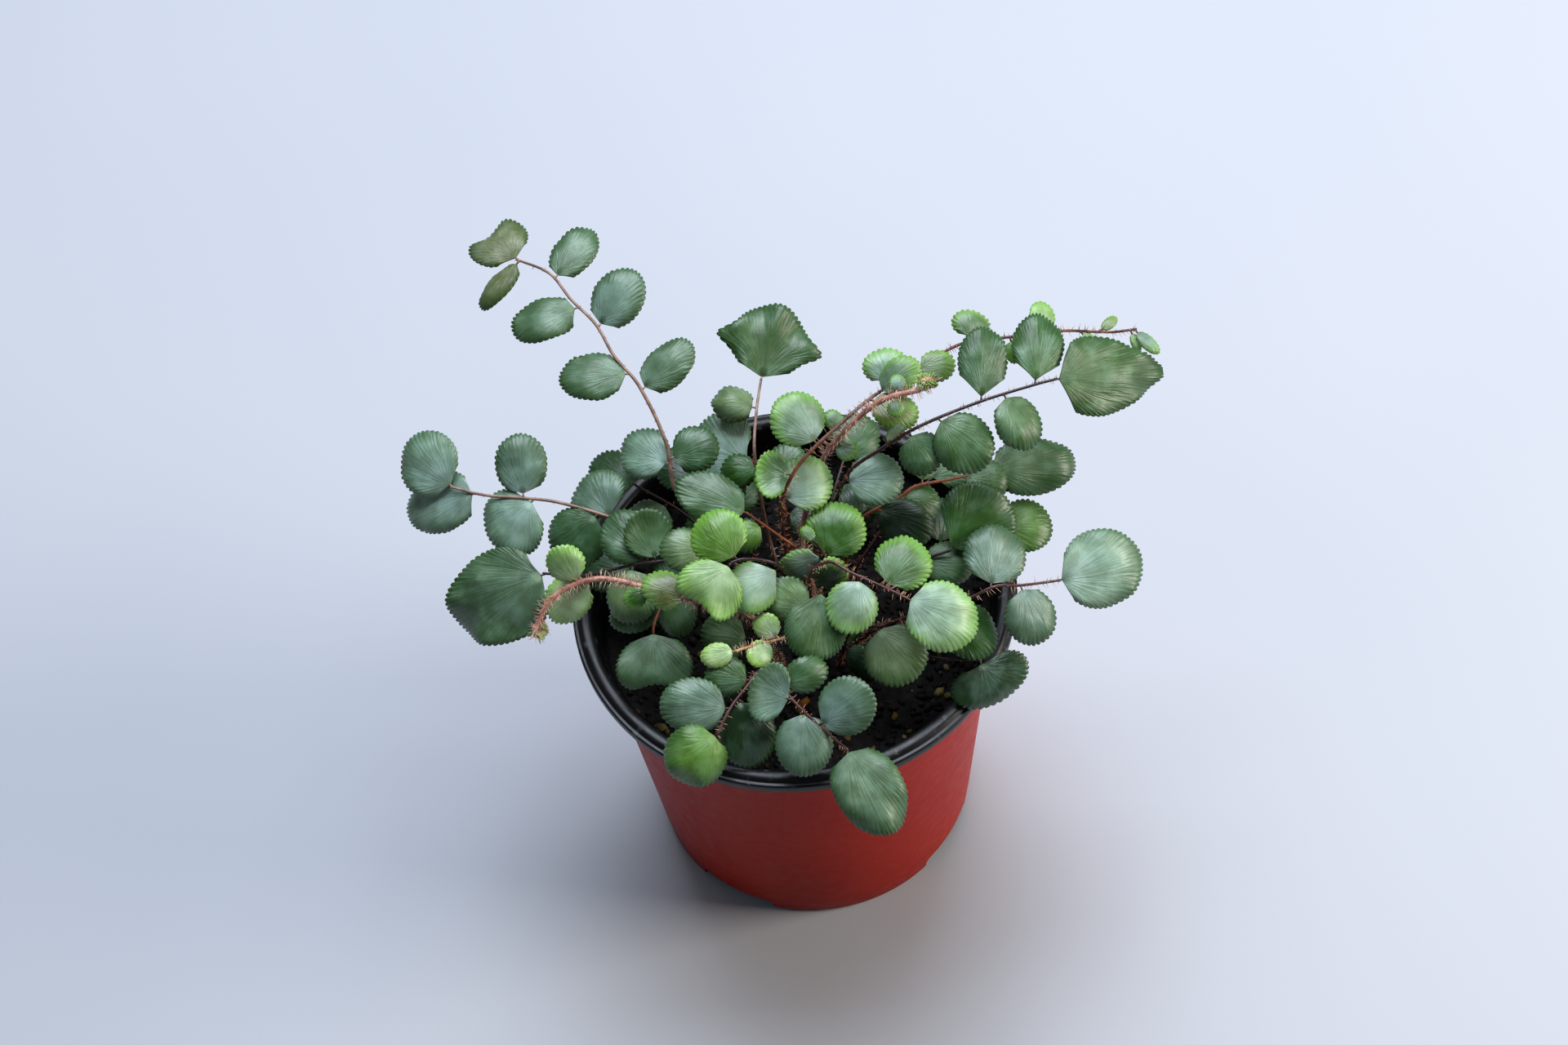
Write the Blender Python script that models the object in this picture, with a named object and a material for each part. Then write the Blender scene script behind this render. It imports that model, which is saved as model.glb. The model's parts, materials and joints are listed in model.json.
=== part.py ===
"""Potted button fern: a thin plastic nursery pot, its soil, and fronds of round scalloped leaflets.

Each frond is one solid: a wiry stalk that stands in a hole in the soil, and leaflets joined to it.
Sizes are in millimetres here and become metres where a mesh is made. The origin lies on the pot's
axis in the plane that the pot stands on, with the front of the plant towards -Y.
"""

import math
import random
from collections import namedtuple

import bmesh
import bpy
from mathutils import Matrix, Vector
from mathutils.bvhtree import BVHTree

MM = 0.001
SEED = 5

# Pot
POT_HEIGHT = 102.0
RIM_RADIUS = 60.0
BASE_RADIUS = 45.3
WALL_TOP = 96.0
WALL_TOP_RADIUS = 54.3
WALL_MIDDLE = 50.0
WALL = 0.8
FLOOR = 1.2
SKIRT_DROP = 3.8
POT_SIDES = 36
DRAIN_ANGLES = (-126, -36, 54, 144)
DRAIN_WIDTH = 23.0
DRAIN_HEIGHT = 5.0
DRAIN_DEPTH = 5.5

# Soil
SOIL_TOP = 90.0
SOIL_GAP = 0.3
HOLE_DEPTH = 8.0
HOLE_GAP = 0.55
HOLE_SIDES = 6

# Fronds
STALK_RADIUS = 0.8
TIP_RADIUS = 0.5
CROZIER_RADIUS = 1.0
MIDRIB_SLACK = 0.3
TIP_OVERRUN = 3
BLADE = 0.7
PETIOLE_LENGTH = 1.2
PETIOLE_WIDTH = 1.0
RIM_POINTS = ((15.2, 24), (9.0, 20), (0.0, 12))
BIG_BLADE = 20.6
SCALLOP = 0.035
NOTCH_SHARPNESS = 6
CLEFT_SHARPNESS = 12
LOBE_SHARPNESS = 24
LOBE_BACK = 0.09
FACING = Vector((0.0, -0.42, 0.91))
OUTWARD = 0.0038
CLEARANCE = 0.35
NOD_SPREAD = 10.0
ROLL_SPREAD = 12.0

# Blade forms: taper widens the base, wedge is how far round in degrees the straight sides of the base
# reach, notch cuts the base in, cleft cuts in the tip or draws it out if negative, wave lifts the margin
# in folds, dome lifts the middle, and lobe draws each side out to a point
FORM_KEYS = ("taper", "wedge", "notch", "cleft", "wave", "folds", "dome", "lobe")
FORM_VALUES = {
    "round": (0.04, 34, 0.0, 0.0, 0.35, 2, 1.1, 0.0),
    "obovate": (-0.04, 62, 0.0, 0.0, 0.7, 3, 1.1, 0.0),
    "spade": (0.26, 46, 0.0, -0.14, 1.2, 3, 1.2, 0.0),
    "shell": (0.10, 30, 0.05, 0.0, 2.0, 3, 1.5, 0.0),
    "crown": (0.0, 40, 0.0, 0.0, 1.6, 4, 1.0, 0.42),
    "kidney": (-0.05, 26, 0.22, 0.0, 0.9, 3, 1.4, 0.0),
    "cleft": (-0.05, 36, 0.0, 0.22, 0.9, 3, 1.2, 0.0),
    "domed": (0.0, 26, 0.1, 0.0, 1.2, 4, 3.0, 0.0),
    "cupped": (0.0, 34, 0.0, 0.0, 0.5, 2, -1.6, 0.0),
    "bud": (0.0, 30, 0.0, 0.0, 0.0, 2, 0.5, 0.0),
}
FORMS = {name: dict(zip(FORM_KEYS, values)) for name, values in FORM_VALUES.items()}

# Each frond: leaf colour, midrib route from the soil to the tip, and its leaflets. The first route
# point is the root (x, y). A leaflet is its place along the midrib from 0 to 1, its swing from the
# midrib in degrees (left positive), its length and width, and then its form, nod and roll if it
# isn't a plain round one.
FRONDS = {
    "frond_back_left_tall": (
        "mature",
        [(-11, 9), (-13, 10, 96), (-20, 15, 112), (-28, 20, 126), (-29, 29, 136), (-34.5, 43, 144),
         (-40, 51, 147), (-44, 60, 150), (-50, 68, 152), (-55, 76, 154), (-64, 84, 152)],
        [(0.43, 60, 14.5, 14), (0.44, -74, 12.5, 13), (0.59, -76, 17, 12.5), (0.63, 50, 18, 14),
         (0.75, -69, 17, 14), (0.81, 62, 18, 13), (0.89, -67, 17, 12), (0.99, 78, 15.5, 8),
         (1.0, -16, 15.5, 17, "cleft")],
    ),
    "frond_left_upper": (
        "mature",
        [(-16, 5), (-17, 6, 98), (-26, 9, 114), (-43, 13, 125), (-59, 20, 127), (-69, 23, 127),
         (-79, 26, 126), (-88, 30, 126)],
        [(0.56, -33, 13.5, 17), (0.60, 62, 15.5, 16.5), (0.80, -80, 16, 14), (0.77, 48, 16, 19.5),
         (1.0, -28, 17.5, 18), (0.93, 18, 24, 17)],
    ),
    "frond_left_big": (
        "mature",
        [(-13, -1), (-14, -1, 100), (-18, -2, 116), (-25, -3, 126), (-39, -1, 125), (-54, 0, 121),
         (-65.5, 3.5, 119)],
        [(0.64, -80, 13, 13, "cupped", -14, 0), (0.67, -59, 15, 15), (0.72, 82, 14.5, 14),
         (1.0, 28, 31, 25, "shell")],
    ),
    "frond_left_crozier": (
        "young",
        [(-9, -5), (-11, -7, 100), (-18, -13, 118), (-26, -17, 129), (-32, -15, 130),
         (-40, -11, 130), (-48, -7.5, 129.5), (-54, -7, 129), (-60, -8.5, 128), (-64, -10.5, 126),
         (-66, -12.5, 123.5), (-68, -15, 121.5)],
        [(0.53, -10, 12, 10), (0.64, 51, 6.5, 5.5, "bud"), (0.83, -82, 10.5, 10, "round", -12, 0),
         (0.80, 22, 17.5, 12.5, "round", 24, 0), (0.82, -52, 6, 5.5, "bud")],
    ),
    "frond_centre_bright": (
        "young",
        [(-3, -7), (-2, -8, 100), (-2, -9, 118), (-4, -10, 131), (-12, -10, 135), (-16, -11, 135)],
        [(0.96, -70, 14, 15), (0.74, 84, 15, 13.5, "obovate"), (1.0, 30, 15.5, 17.5, "cleft")],
    ),
    "frond_centre_high": (
        "mature",
        [(3, -4), (4, -4, 100), (3, -3.5, 116), (2, -3, 126), (-2, -1, 130), (-10, 5, 134)],
        [(0.90, 60, 9.5, 9), (1.0, 10, 19.5, 14)],
    ),
    "frond_centre_left": (
        "mature",
        [(-8, 2), (-9, 2, 100), (-13, 1, 116), (-20, -1, 127)],
        [(1.0, 14, 13, 12)],
    ),
    "frond_front_left": (
        "mature",
        [(-17, -3), (-18.5, -3.5, 98), (-22, -6, 112), (-28, -6, 120), (-34, -9, 118), (-37, -14, 117),
         (-38, -17, 116)],
        [(0.86, -45, 14, 10.5), (0.76, 52, 12, 10.5), (1.0, 11, 17, 20, "cleft")],
    ),
    "frond_front_young": (
        "lime",
        [(2, -16), (3, -18, 98), (3, -21, 110), (1, -23, 117), (-5, -25, 118), (-13, -28, 121),
         (-17, -29.5, 122)],
        [(0.76, -61, 7.5, 7, "bud"), (0.80, 47, 8, 7, "bud"), (1.0, -6, 8.5, 6.5, "bud")],
    ),
    "frond_front_low": (
        "mature",
        [(-6, -17), (-6, -19, 98), (-7, -23, 109), (-9, -27, 115), (-13, -35, 117), (-20, -43, 116),
         (-24, -49, 114)],
        [(0.875, -63, 17, 14.5), (0.82, 50, 18, 15, "round", 20, 0), (0.73, -66, 11, 11),
         (1.0, -20, 17, 16.5, "domed")],
    ),
    "frond_front_droop": (
        "mature",
        [(-2, -20), (-3, -23, 98), (-6, -28, 111), (-8, -33, 118), (-4, -43, 118), (4.5, -52.5, 114),
         (9, -56.5, 111.5)],
        [(0.73, -150, 10.5, 16, "cupped"), (0.66, 80, 11.5, 9.5), (0.78, -43, 16, 15),
         (0.86, 77, 16, 15), (1.0, -21, 25, 18, "shell")],
    ),
    "frond_right_near": (
        "young",
        [(2, -11), (3, -12, 100), (4, -13, 116), (5, -12, 128), (10, -12, 132), (15, -16, 132),
         (23, -21, 131), (29, -25, 130)],
        [(0.56, -58, 9.5, 11), (0.82, -83, 14, 13.5), (0.91, 80, 14.5, 15), (1.0, 2, 19.5, 18)],
    ),
    "frond_right_long": (
        "mature",
        [(14, -14), (16, -16, 98), (20, -19, 108), (26, -21, 114), (37, -21, 118), (46, -22, 123),
         (52, -21, 125), (58, -21, 124), (69, -20, 122.5)],
        [(0.60, -60, 16.5, 14.5), (0.77, 57, 16, 16.5), (0.87, -75, 15, 14), (1.0, 8, 23, 20.5)],
    ),
    "frond_right_low": (
        "mature",
        [(10, -18), (11, -19, 98), (13, -21, 110), (17, -23, 116), (21, -24.5, 118)],
        [(0.45, 20, 11, 10.5, "round", 15, 0), (0.40, -110, 10.5, 9), (1.0, -57, 16, 17)],
    ),
    "frond_right_rim": (
        "mature",
        [(15, -19), (21, -24, 103), (32, -30, 109), (37, -32.5, 111), (46.5, -34, 110.5)],
        [(1.0, -58, 14.5, 21.5, "kidney")],
    ),
    "frond_right_upper": (
        "mature",
        [(9, 4), (10, 5, 102), (12, 6, 124), (18, 9, 141), (27, 11, 147), (37, 13, 152),
         (53, 17, 154), (68, 19, 156), (74, 20, 156)],
        [(0.47, -55, 14.5, 14.5), (0.60, 20, 6, 4, "bud"), (0.66, -83, 11, 12), (0.73, -67, 16.5, 15.5),
         (0.83, 68, 18.5, 13, "obovate"), (0.88, -77, 14.5, 13), (0.95, 66, 19.5, 13.5, "obovate"),
         (1.0, -4, 29, 20.5, "spade")],
    ),
    "frond_right_back": (
        "mature",
        [(14, 4), (14.5, 5, 100), (16, 6, 112), (19, 7, 121), (31, 11, 124), (35, 13, 125),
         (45, 14, 125), (55.5, 16, 124)],
        [(0.50, 60, 9.5, 9.5), (0.59, -56, 15, 13), (0.67, -45, 10, 11.5), (0.76, 68, 13, 9.5),
         (0.90, -27, 11, 13), (1.0, -5, 24.5, 15.5)],
    ),
    "frond_right_thin": (
        "young",
        [(2, 6), (0, 6, 104), (-1, 5, 124), (0, 5, 139), (6, 10, 147), (20, 20, 151), (28, 26, 151),
         (47.5, 36, 152.5), (53, 37, 153.5), (67, 37, 153.5), (78, 37, 153.5), (90.5, 37, 150.5),
         (97.5, 37, 150.5)],
        [(0.38, 120, 8.5, 13, "cupped"), (0.44, 83, 14.5, 15), (0.33, -36, 14, 14.5),
         (0.55, -65, 12.5, 11), (0.59, 66, 9, 12), (0.57, -1, 12, 9.5), (0.64, -23, 9.5, 8.5),
         (0.74, 80, 8, 10.5), (0.80, -81, 6, 4.5, "bud"), (0.85, 79, 8, 7.5, "bud"),
         (0.91, -47, 4.5, 4.5, "bud"), (0.94, 41, 5.5, 3, "bud"), (0.99, -67, 5, 3, "bud"),
         (1.0, -62, 8, 4, "bud")],
    ),
    "frond_right_crozier": (
        "young",
        [(5, 1), (5, 1, 104), (4, 2, 126), (12, 16, 139), (18, 17.5, 147.5), (25.5, 18.5, 155.5),
         (31, 18.5, 159), (36.5, 18.5, 160), (40, 19, 160.5)],
        [(0.73, 84, 6, 5, "bud"), (0.68, -64, 6, 6, "bud"), (0.92, 69, 4.5, 4.5, "bud"),
         (0.91, -87, 4.5, 4.5, "bud")],
    ),
    "frond_back_single": (
        "mature",
        [(-4, 17), (-5, 20, 98), (-6, 25, 116), (-6, 30, 127), (-4, 43, 128), (-2, 52, 128)],
        [(0.86, 82, 12.5, 10.5, "domed"), (1.0, -6, 20.5, 20.5, "crown")],
    ),
    "frond_back_middle": (
        "mature",
        [(1, 10), (1, 11, 100), (0.5, 13, 111), (0, 16, 119), (-3, 25, 120), (-7.5, 33, 118)],
        [(0.62, -120, 10.5, 10), (0.74, -45, 12.5, 12), (0.92, 55, 9.5, 9.5), (1.0, 42, 22, 27, "kidney")],
    ),
    "frond_centre_upright": (
        "young",
        [(10, -8), (10, -8, 100), (10, -8, 116), (8.5, -8, 130), (7, -8, 136)],
        [(0.84, -50, 14.5, 16), (0.86, 82, 12, 10.5), (1.0, 0, 4.5, 3.5, "bud")],
    ),
    "frond_centre_fan": (
        "mature",
        [(6, -15), (5, -16, 100), (4, -17, 115), (5, -18, 123), (7.5, -17, 128)],
        [(0.78, 77, 12.5, 12), (1.0, -157, 17.5, 16.5, "obovate")],
    ),
    "frond_right_middle": (
        "mature",
        [(16, -6), (18, -7, 100), (23, -8, 114), (32, -9, 122), (42, -9, 126)],
        [(0.84, -25, 13, 12), (1.0, 30, 19.5, 21, "obovate")],
    ),
    "frond_right_behind": (
        "mature",
        [(19, 2), (24, 3, 97), (38, 4, 108), (56, 5, 112)],
        [(0.70, 70, 12, 11), (1.0, -5, 14.5, 15)],
    ),
    "frond_left_dark": (
        "mature",
        [(-13, 14), (-17, 17, 98), (-27, 22, 112), (-39, 27, 121)],
        [(0.8, 75, 13, 13), (1.0, -5, 14.5, 13)],
    ),
    "frond_front_dark": (
        "mature",
        [(-9, -12), (-11, -12.5, 97), (-13.5, -13, 101)],
        [(1.0, 2, 12.5, 14)],
    ),
    "frond_back_right_low": (
        "mature",
        [(8, 15), (10, 19, 97), (14, 29, 103), (18, 38, 106)],
        [(0.62, -70, 12, 13), (0.70, 68, 13, 13), (1.0, -10, 14, 14)],
    ),
    "frond_back_left_low": (
        "mature",
        [(-9, 17), (-12, 20, 97), (-17, 28, 102), (-22, 36, 105)],
        [(0.62, 70, 12, 13), (0.72, -68, 13, 13), (1.0, 10, 14, 14)],
    ),
    "frond_right_back_low": (
        "mature",
        [(17, 10), (22, 14, 97), (31, 22, 103), (41, 28, 106)],
        [(0.65, 70, 12, 13), (0.78, -68, 12, 12), (1.0, 0, 15, 15)],
    ),
    "frond_left_low": (
        "mature",
        [(-19, 2), (-24, 4, 97), (-34, 6, 103), (-42, 9, 105)],
        [(0.7, -68, 13, 13), (0.8, 70, 12, 13), (1.0, 0, 15, 15)],
    ),
}

# The young fronds whose tips are still coiled: coil radius and turns
CROZIERS = {"frond_left_crozier": (2.2, 0.9), "frond_right_crozier": (-1.9, 1.0)}

LEAF_COLOURS = {
    "mature": (0.075, 0.150, 0.085), "young": (0.150, 0.270, 0.065), "lime": (0.320, 0.480, 0.090)
}

Leaflet = namedtuple("Leaflet", "frond base tangent swing length width form nod roll phase")
Placed = namedtuple("Placed", "leaflet tree centre reach")


def material(name, colour, roughness):
    """A plain finish for one sub-part."""
    made = bpy.data.materials.new(name)
    made.use_nodes = True
    shader = made.node_tree.nodes["Principled BSDF"]
    shader.inputs["Base Color"].default_value = (*colour, 1.0)
    shader.inputs["Roughness"].default_value = roughness
    shader.inputs["Metallic"].default_value = 0.0
    return made


def add_object(name, bm, collection=None):
    """A named object from a bmesh in millimetres."""
    mesh = bpy.data.meshes.new(name)
    bmesh.ops.scale(bm, vec=(MM, MM, MM), verts=bm.verts)
    bm.to_mesh(mesh)
    bm.free()
    made = bpy.data.objects.new(name, mesh)
    (collection or bpy.context.scene.collection).objects.link(made)
    return made


def boolean(target, operation, others, solver="EXACT"):
    """Joins or cuts the target by every object of a collection, applies it and removes them."""
    cut = target.modifiers.new(operation.title(), "BOOLEAN")
    cut.operation = operation
    cut.operand_type = "COLLECTION"
    cut.collection = others
    cut.solver = solver
    bpy.context.view_layer.update()
    evaluated = target.evaluated_get(bpy.context.evaluated_depsgraph_get())
    mesh = bpy.data.meshes.new_from_object(evaluated)
    target.modifiers.clear()
    target.data = mesh
    for other in list(others.objects):
        bpy.data.objects.remove(other)
    bpy.data.collections.remove(others)


def new_collection(name):
    made = bpy.data.collections.new(name)
    bpy.context.scene.collection.children.link(made)
    return made


def turned(profile, sides):
    """A solid of revolution about Z from a profile whose two ends lie on the axis."""
    bm = bmesh.new()
    points = [bm.verts.new((radius, 0.0, height)) for radius, height in profile]
    edges = [bm.edges.new(pair) for pair in zip(points, points[1:])]
    bmesh.ops.spin(
        bm, geom=points + edges, cent=(0, 0, 0), axis=(0, 0, 1), angle=math.tau, steps=sides, use_merge=True
    )
    bmesh.ops.remove_doubles(bm, verts=bm.verts, dist=0.001)
    bmesh.ops.recalc_face_normals(bm, faces=bm.faces)
    return bm


def outer_radius(height):
    """Outside of the tapering pot wall."""
    return BASE_RADIUS + (WALL_TOP_RADIUS - BASE_RADIUS) * height / WALL_TOP


def pot_profile():
    """The wall and its lip as one thin sheet, from the axis under the floor round to the axis inside."""
    lip_low = POT_HEIGHT - SKIRT_DROP
    underside = [(0.0, 0.0), (BASE_RADIUS - 1.6, 0.0), (BASE_RADIUS, 1.4)]
    wall = [(outer_radius(WALL_MIDDLE), WALL_MIDDLE), (WALL_TOP_RADIUS, WALL_TOP), (54.9, POT_HEIGHT - 2.4)]
    skirt = [(58.7, POT_HEIGHT - 2.2), (59.1, lip_low), (59.9, lip_low)]
    lip = [(RIM_RADIUS, POT_HEIGHT - 1.4), (59.2, POT_HEIGHT - 0.5), (57.8, POT_HEIGHT - 0.9),
           (56.9, POT_HEIGHT - 0.1), (55.7, POT_HEIGHT), (54.5, POT_HEIGHT - 1.0)]
    inside = [(WALL_TOP_RADIUS - WALL, WALL_TOP - 0.4), (outer_radius(WALL_MIDDLE) - WALL, WALL_MIDDLE),
              (BASE_RADIUS - WALL + 0.2, FLOOR + 1.2), (BASE_RADIUS - 2.2, FLOOR), (0.0, FLOOR)]
    return underside + wall + skirt + lip + inside


def make_pot():
    """The nursery pot, with its drain holes cut through the corner of base and wall."""
    pot = add_object("pot", turned(pot_profile(), POT_SIDES))
    cutters = new_collection("drain cutters")
    for angle in DRAIN_ANGLES:
        bm = bmesh.new()
        bmesh.ops.create_cube(bm, size=1.0)
        bmesh.ops.scale(bm, vec=(2 * DRAIN_DEPTH, DRAIN_WIDTH, 2 * DRAIN_HEIGHT), verts=bm.verts)
        bmesh.ops.translate(bm, vec=(BASE_RADIUS, 0, 0), verts=bm.verts)
        bmesh.ops.rotate(bm, matrix=Matrix.Rotation(math.radians(angle), 3, "Z"), verts=bm.verts)
        add_object("drain cutter", bm, cutters)
    boolean(pot, "DIFFERENCE", cutters)
    pot.data.materials.clear()
    pot.data.materials.append(material("terracotta red plastic", (0.45, 0.06, 0.025), 0.45))
    pot.data.shade_smooth()
    pot.data.set_sharp_from_angle(angle=math.radians(40))


def make_soil():
    """The soil, clear of the pot, with a plain hole under every stalk."""
    edge = outer_radius(SOIL_TOP) - WALL - SOIL_GAP
    low = FLOOR + SOIL_GAP
    profile = [(0.0, low), (BASE_RADIUS - 3.2, low), (BASE_RADIUS - WALL - 0.3, low + 1.9),
               (outer_radius(WALL_MIDDLE) - WALL - SOIL_GAP, WALL_MIDDLE), (edge, SOIL_TOP - 1.0),
               (edge - 4, SOIL_TOP),
               (0.0, SOIL_TOP)]
    soil = add_object("soil", turned(profile, POT_SIDES))
    drills = new_collection("drills")
    for name, (_, route, _) in FRONDS.items():
        radius = stalk_radius(name) + HOLE_GAP
        bm = bmesh.new()
        bmesh.ops.create_cone(
            bm, cap_ends=True, segments=HOLE_SIDES, radius1=radius, radius2=radius, depth=2 * HOLE_DEPTH
        )
        bmesh.ops.translate(bm, vec=(route[0][0], route[0][1], SOIL_TOP), verts=bm.verts)
        add_object("drill", bm, drills)
    boolean(soil, "DIFFERENCE", drills)
    soil.data.materials.clear()
    soil.data.materials.append(material("peat", (0.012, 0.009, 0.007), 0.95))


def stalk_radius(name):
    return CROZIER_RADIUS if name in CROZIERS else STALK_RADIUS


def smooth_route(points):
    """Samples of a smooth curve through the route's points, a quarter of a millimetre apart or so."""
    times = [0.0]
    for a, b in zip(points, points[1:]):
        times.append(times[-1] + (b - a).length)
    slopes = []
    for i in range(len(points)):
        before, after = max(i - 1, 0), min(i + 1, len(points) - 1)
        slopes.append((points[after] - points[before]) / (times[after] - times[before]))
    samples = []
    for i in range(len(points) - 1):
        span = times[i + 1] - times[i]
        steps = max(2, round(span * 4))
        for k in range(steps):
            t = k / steps
            samples.append(
                points[i] * (2 * t**3 - 3 * t**2 + 1)
                + slopes[i] * span * (t**3 - 2 * t**2 + t)
                + points[i + 1] * (3 * t**2 - 2 * t**3)
                + slopes[i + 1] * span * (t**3 - t**2)
            )
    return samples + [points[-1]]


def coil(start, heading, radius, turns):
    """Points of a flat spiral that carries the midrib on from its tip and winds up downwards, or upwards
    where the radius is negative."""
    forward = heading.normalized()
    side = forward.cross(Vector((0, 0, 1))).normalized()
    inward = side.cross(forward).normalized()
    if inward.z > 0:
        inward = -inward
    centre = start + inward * radius
    steps = round(turns * 10)
    points = []
    for k in range(1, steps + 1):
        turn = math.tau * turns * k / steps
        reach = radius * (1 - 0.62 * k / steps)
        points.append(centre + abs(reach) * math.sin(turn) * forward - reach * math.cos(turn) * inward)
    return points


def midrib_line(name):
    """The midrib as samples from the root to the tip, without its coil."""
    _, route, _ = FRONDS[name]
    root = route[0]
    points = [Vector((*root, SOIL_TOP - HOLE_DEPTH + 0.3)), Vector((*root, SOIL_TOP + 1.5))]
    points += [Vector(point) for point in route[1:]]
    return smooth_route(points)


def stations(line, slack):
    """The fewest of a line's samples whose straight joins stay within the slack, in millimetres."""
    first, last = line[0], line[-1]
    away = (last - first).normalized()
    drift = [((point - first) - away * (point - first).dot(away)).length for point in line]
    worst = max(range(len(line)), key=drift.__getitem__)
    if len(line) < 3 or drift[worst] <= slack:
        return [first, last]
    return stations(line[: worst + 1], slack)[:-1] + stations(line[worst:], slack)


def make_midrib(name, line):
    """The stalk and midrib as a tapering tube."""
    points = stations(line, MIDRIB_SLACK)
    root = stalk_radius(name)
    if name in CROZIERS:
        points = points + coil(line[-1], line[-1] - line[-3], *CROZIERS[name])
    curve = bpy.data.curves.new(name, "CURVE")
    curve.dimensions = "3D"
    curve.bevel_depth = 1.0
    curve.bevel_resolution = 1
    curve.use_fill_caps = True
    spline = curve.splines.new("POLY")
    spline.points.add(len(points) - 1)
    for k, (knot, point) in enumerate(zip(spline.points, points)):
        knot.co = (*point, 1.0)
        knot.radius = root + (TIP_RADIUS - root) * k / (len(points) - 1)
    guide = bpy.data.objects.new("guide", curve)
    bpy.context.scene.collection.objects.link(guide)
    bpy.context.view_layer.update()
    bm = bmesh.new()
    bm.from_mesh(bpy.data.meshes.new_from_object(guide))
    bpy.data.objects.remove(guide)
    bmesh.ops.remove_doubles(bm, verts=bm.verts, dist=0.001)
    bmesh.ops.triangulate(bm, faces=bm.faces)
    bmesh.ops.recalc_face_normals(bm, faces=bm.faces)
    return bm


def blade_height(rho, phi, form, phase):
    """How far a point of the blade stands off its plane: a dome, and folds that grow to the margin."""
    away_from_base = (1 - math.cos(phi)) / 2
    fold = form["wave"] * rho**2 * away_from_base * math.cos(form["folds"] * phi + phase)
    return form["dome"] * (1 - rho**2) + fold


def blade_point(rho, phi, length, width, form, phase, scallop):
    """A point of the blade in its own frame: x from the midrib along the blade, y across, z up."""
    half_length, half_width = length / 2, width / 2
    grow = 1 + scallop * rho
    near_base = ((1 + math.cos(phi)) / 2) ** NOTCH_SHARPNESS
    near_tip = ((1 - math.cos(phi)) / 2) ** CLEFT_SHARPNESS
    shift = (form["notch"] * (near_base - 1) - form["cleft"] * near_tip) * length * rho
    point_out = form["lobe"] * abs(math.sin(phi + LOBE_BACK * math.sin(phi))) ** LOBE_SHARPNESS * rho
    x = PETIOLE_LENGTH + half_length * (1 - rho * grow * math.cos(phi)) + shift
    y = half_width * rho * grow * math.sin(phi) * (1 + form["taper"] * math.cos(phi) + point_out)
    return Vector((x, y, blade_height(rho, phi, form, phase)))


def leaflet_bmesh(leaflet, swell=0.0, root=-0.35):
    """A closed blade with its short petiole, which ends just past the midrib's centre. Swell makes it
    larger and thicker by that much all round."""
    bm = bmesh.new()
    form = FORMS[leaflet.form]
    size = (leaflet.length + 2 * swell, leaflet.width + 2 * swell)
    rim = next(count for least, count in RIM_POINTS if leaflet.length > least)
    depth = 0.0 if leaflet.form == "bud" else SCALLOP
    bmesh.ops.create_circle(bm, cap_ends=True, cap_tris=True, segments=rim, radius=1.0)
    if leaflet.length > BIG_BLADE:
        spokes = [edge for edge in bm.edges if any(v.co.length < 0.5 for v in edge.verts)]
        bmesh.ops.subdivide_edges(bm, edges=spokes, cuts=1)
        bmesh.ops.triangulate(bm, faces=bm.faces)
    for vertex in bm.verts:
        rho = vertex.co.length
        turn = math.atan2(vertex.co.x, vertex.co.y) % math.tau
        slot = round(turn / math.tau * rim - 0.5) % rim
        half_slot, side = (slot, 1) if slot < rim / 2 else (rim - 1 - slot, -1)
        if rho < 0.9:
            vertex.co = blade_point(rho, turn if rho > 0.1 else 0.0, *size, form, leaflet.phase, 0.0)
        elif half_slot == 0:
            vertex.co = (root, side * PETIOLE_WIDTH / 2, 0.0)
        elif half_slot == 1:
            vertex.co = (PETIOLE_LENGTH, side * PETIOLE_WIDTH / 2, 0.0)
        else:
            wedge = math.radians(form["wedge"])
            phi = wedge + (math.pi - wedge) * (half_slot - 2) / (rim / 2 - 2.5)
            scallop = depth if half_slot % 2 == 0 else -depth
            vertex.co = blade_point(1.0, side * phi, *size, form, leaflet.phase, scallop)
    made = bmesh.ops.extrude_face_region(bm, geom=bm.faces[:], use_keep_orig=True)
    thick = BLADE + 2 * swell
    lifted = [part for part in made["geom"] if isinstance(part, bmesh.types.BMVert)]
    bmesh.ops.translate(bm, vec=(0, 0, thick), verts=lifted)
    bmesh.ops.translate(bm, vec=(0, 0, -thick / 2), verts=bm.verts)
    bmesh.ops.recalc_face_normals(bm, faces=bm.faces)
    return bm


def leaflet_frame(leaflet):
    """The leaflet's own axes: its blade faces the light and outwards, and nod and roll tip it from there."""
    outwards = Vector((leaflet.base.x, leaflet.base.y, 0.0))
    facing = (FACING + OUTWARD * outwards).normalized()
    along = (leaflet.tangent - facing * leaflet.tangent.dot(facing)).normalized()
    axis = Matrix.Rotation(math.radians(leaflet.swing), 3, facing) @ along
    across = facing.cross(axis)
    axis = Matrix.Rotation(math.radians(leaflet.nod), 3, across) @ axis
    across = Matrix.Rotation(math.radians(leaflet.roll), 3, axis) @ across
    up = axis.cross(across)
    frame = Matrix((axis, across, up)).transposed().to_4x4()
    frame.translation = leaflet.base
    return frame


def search_tree(bm, frame=Matrix()):
    """A tree for overlap tests and its points, from a bmesh placed by a frame."""
    points = [frame @ v.co for v in bm.verts]
    bm.verts.index_update()
    faces = [[v.index for v in face.verts] for face in bm.faces]
    bm.free()
    return BVHTree.FromPolygons(points, faces), points


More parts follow.
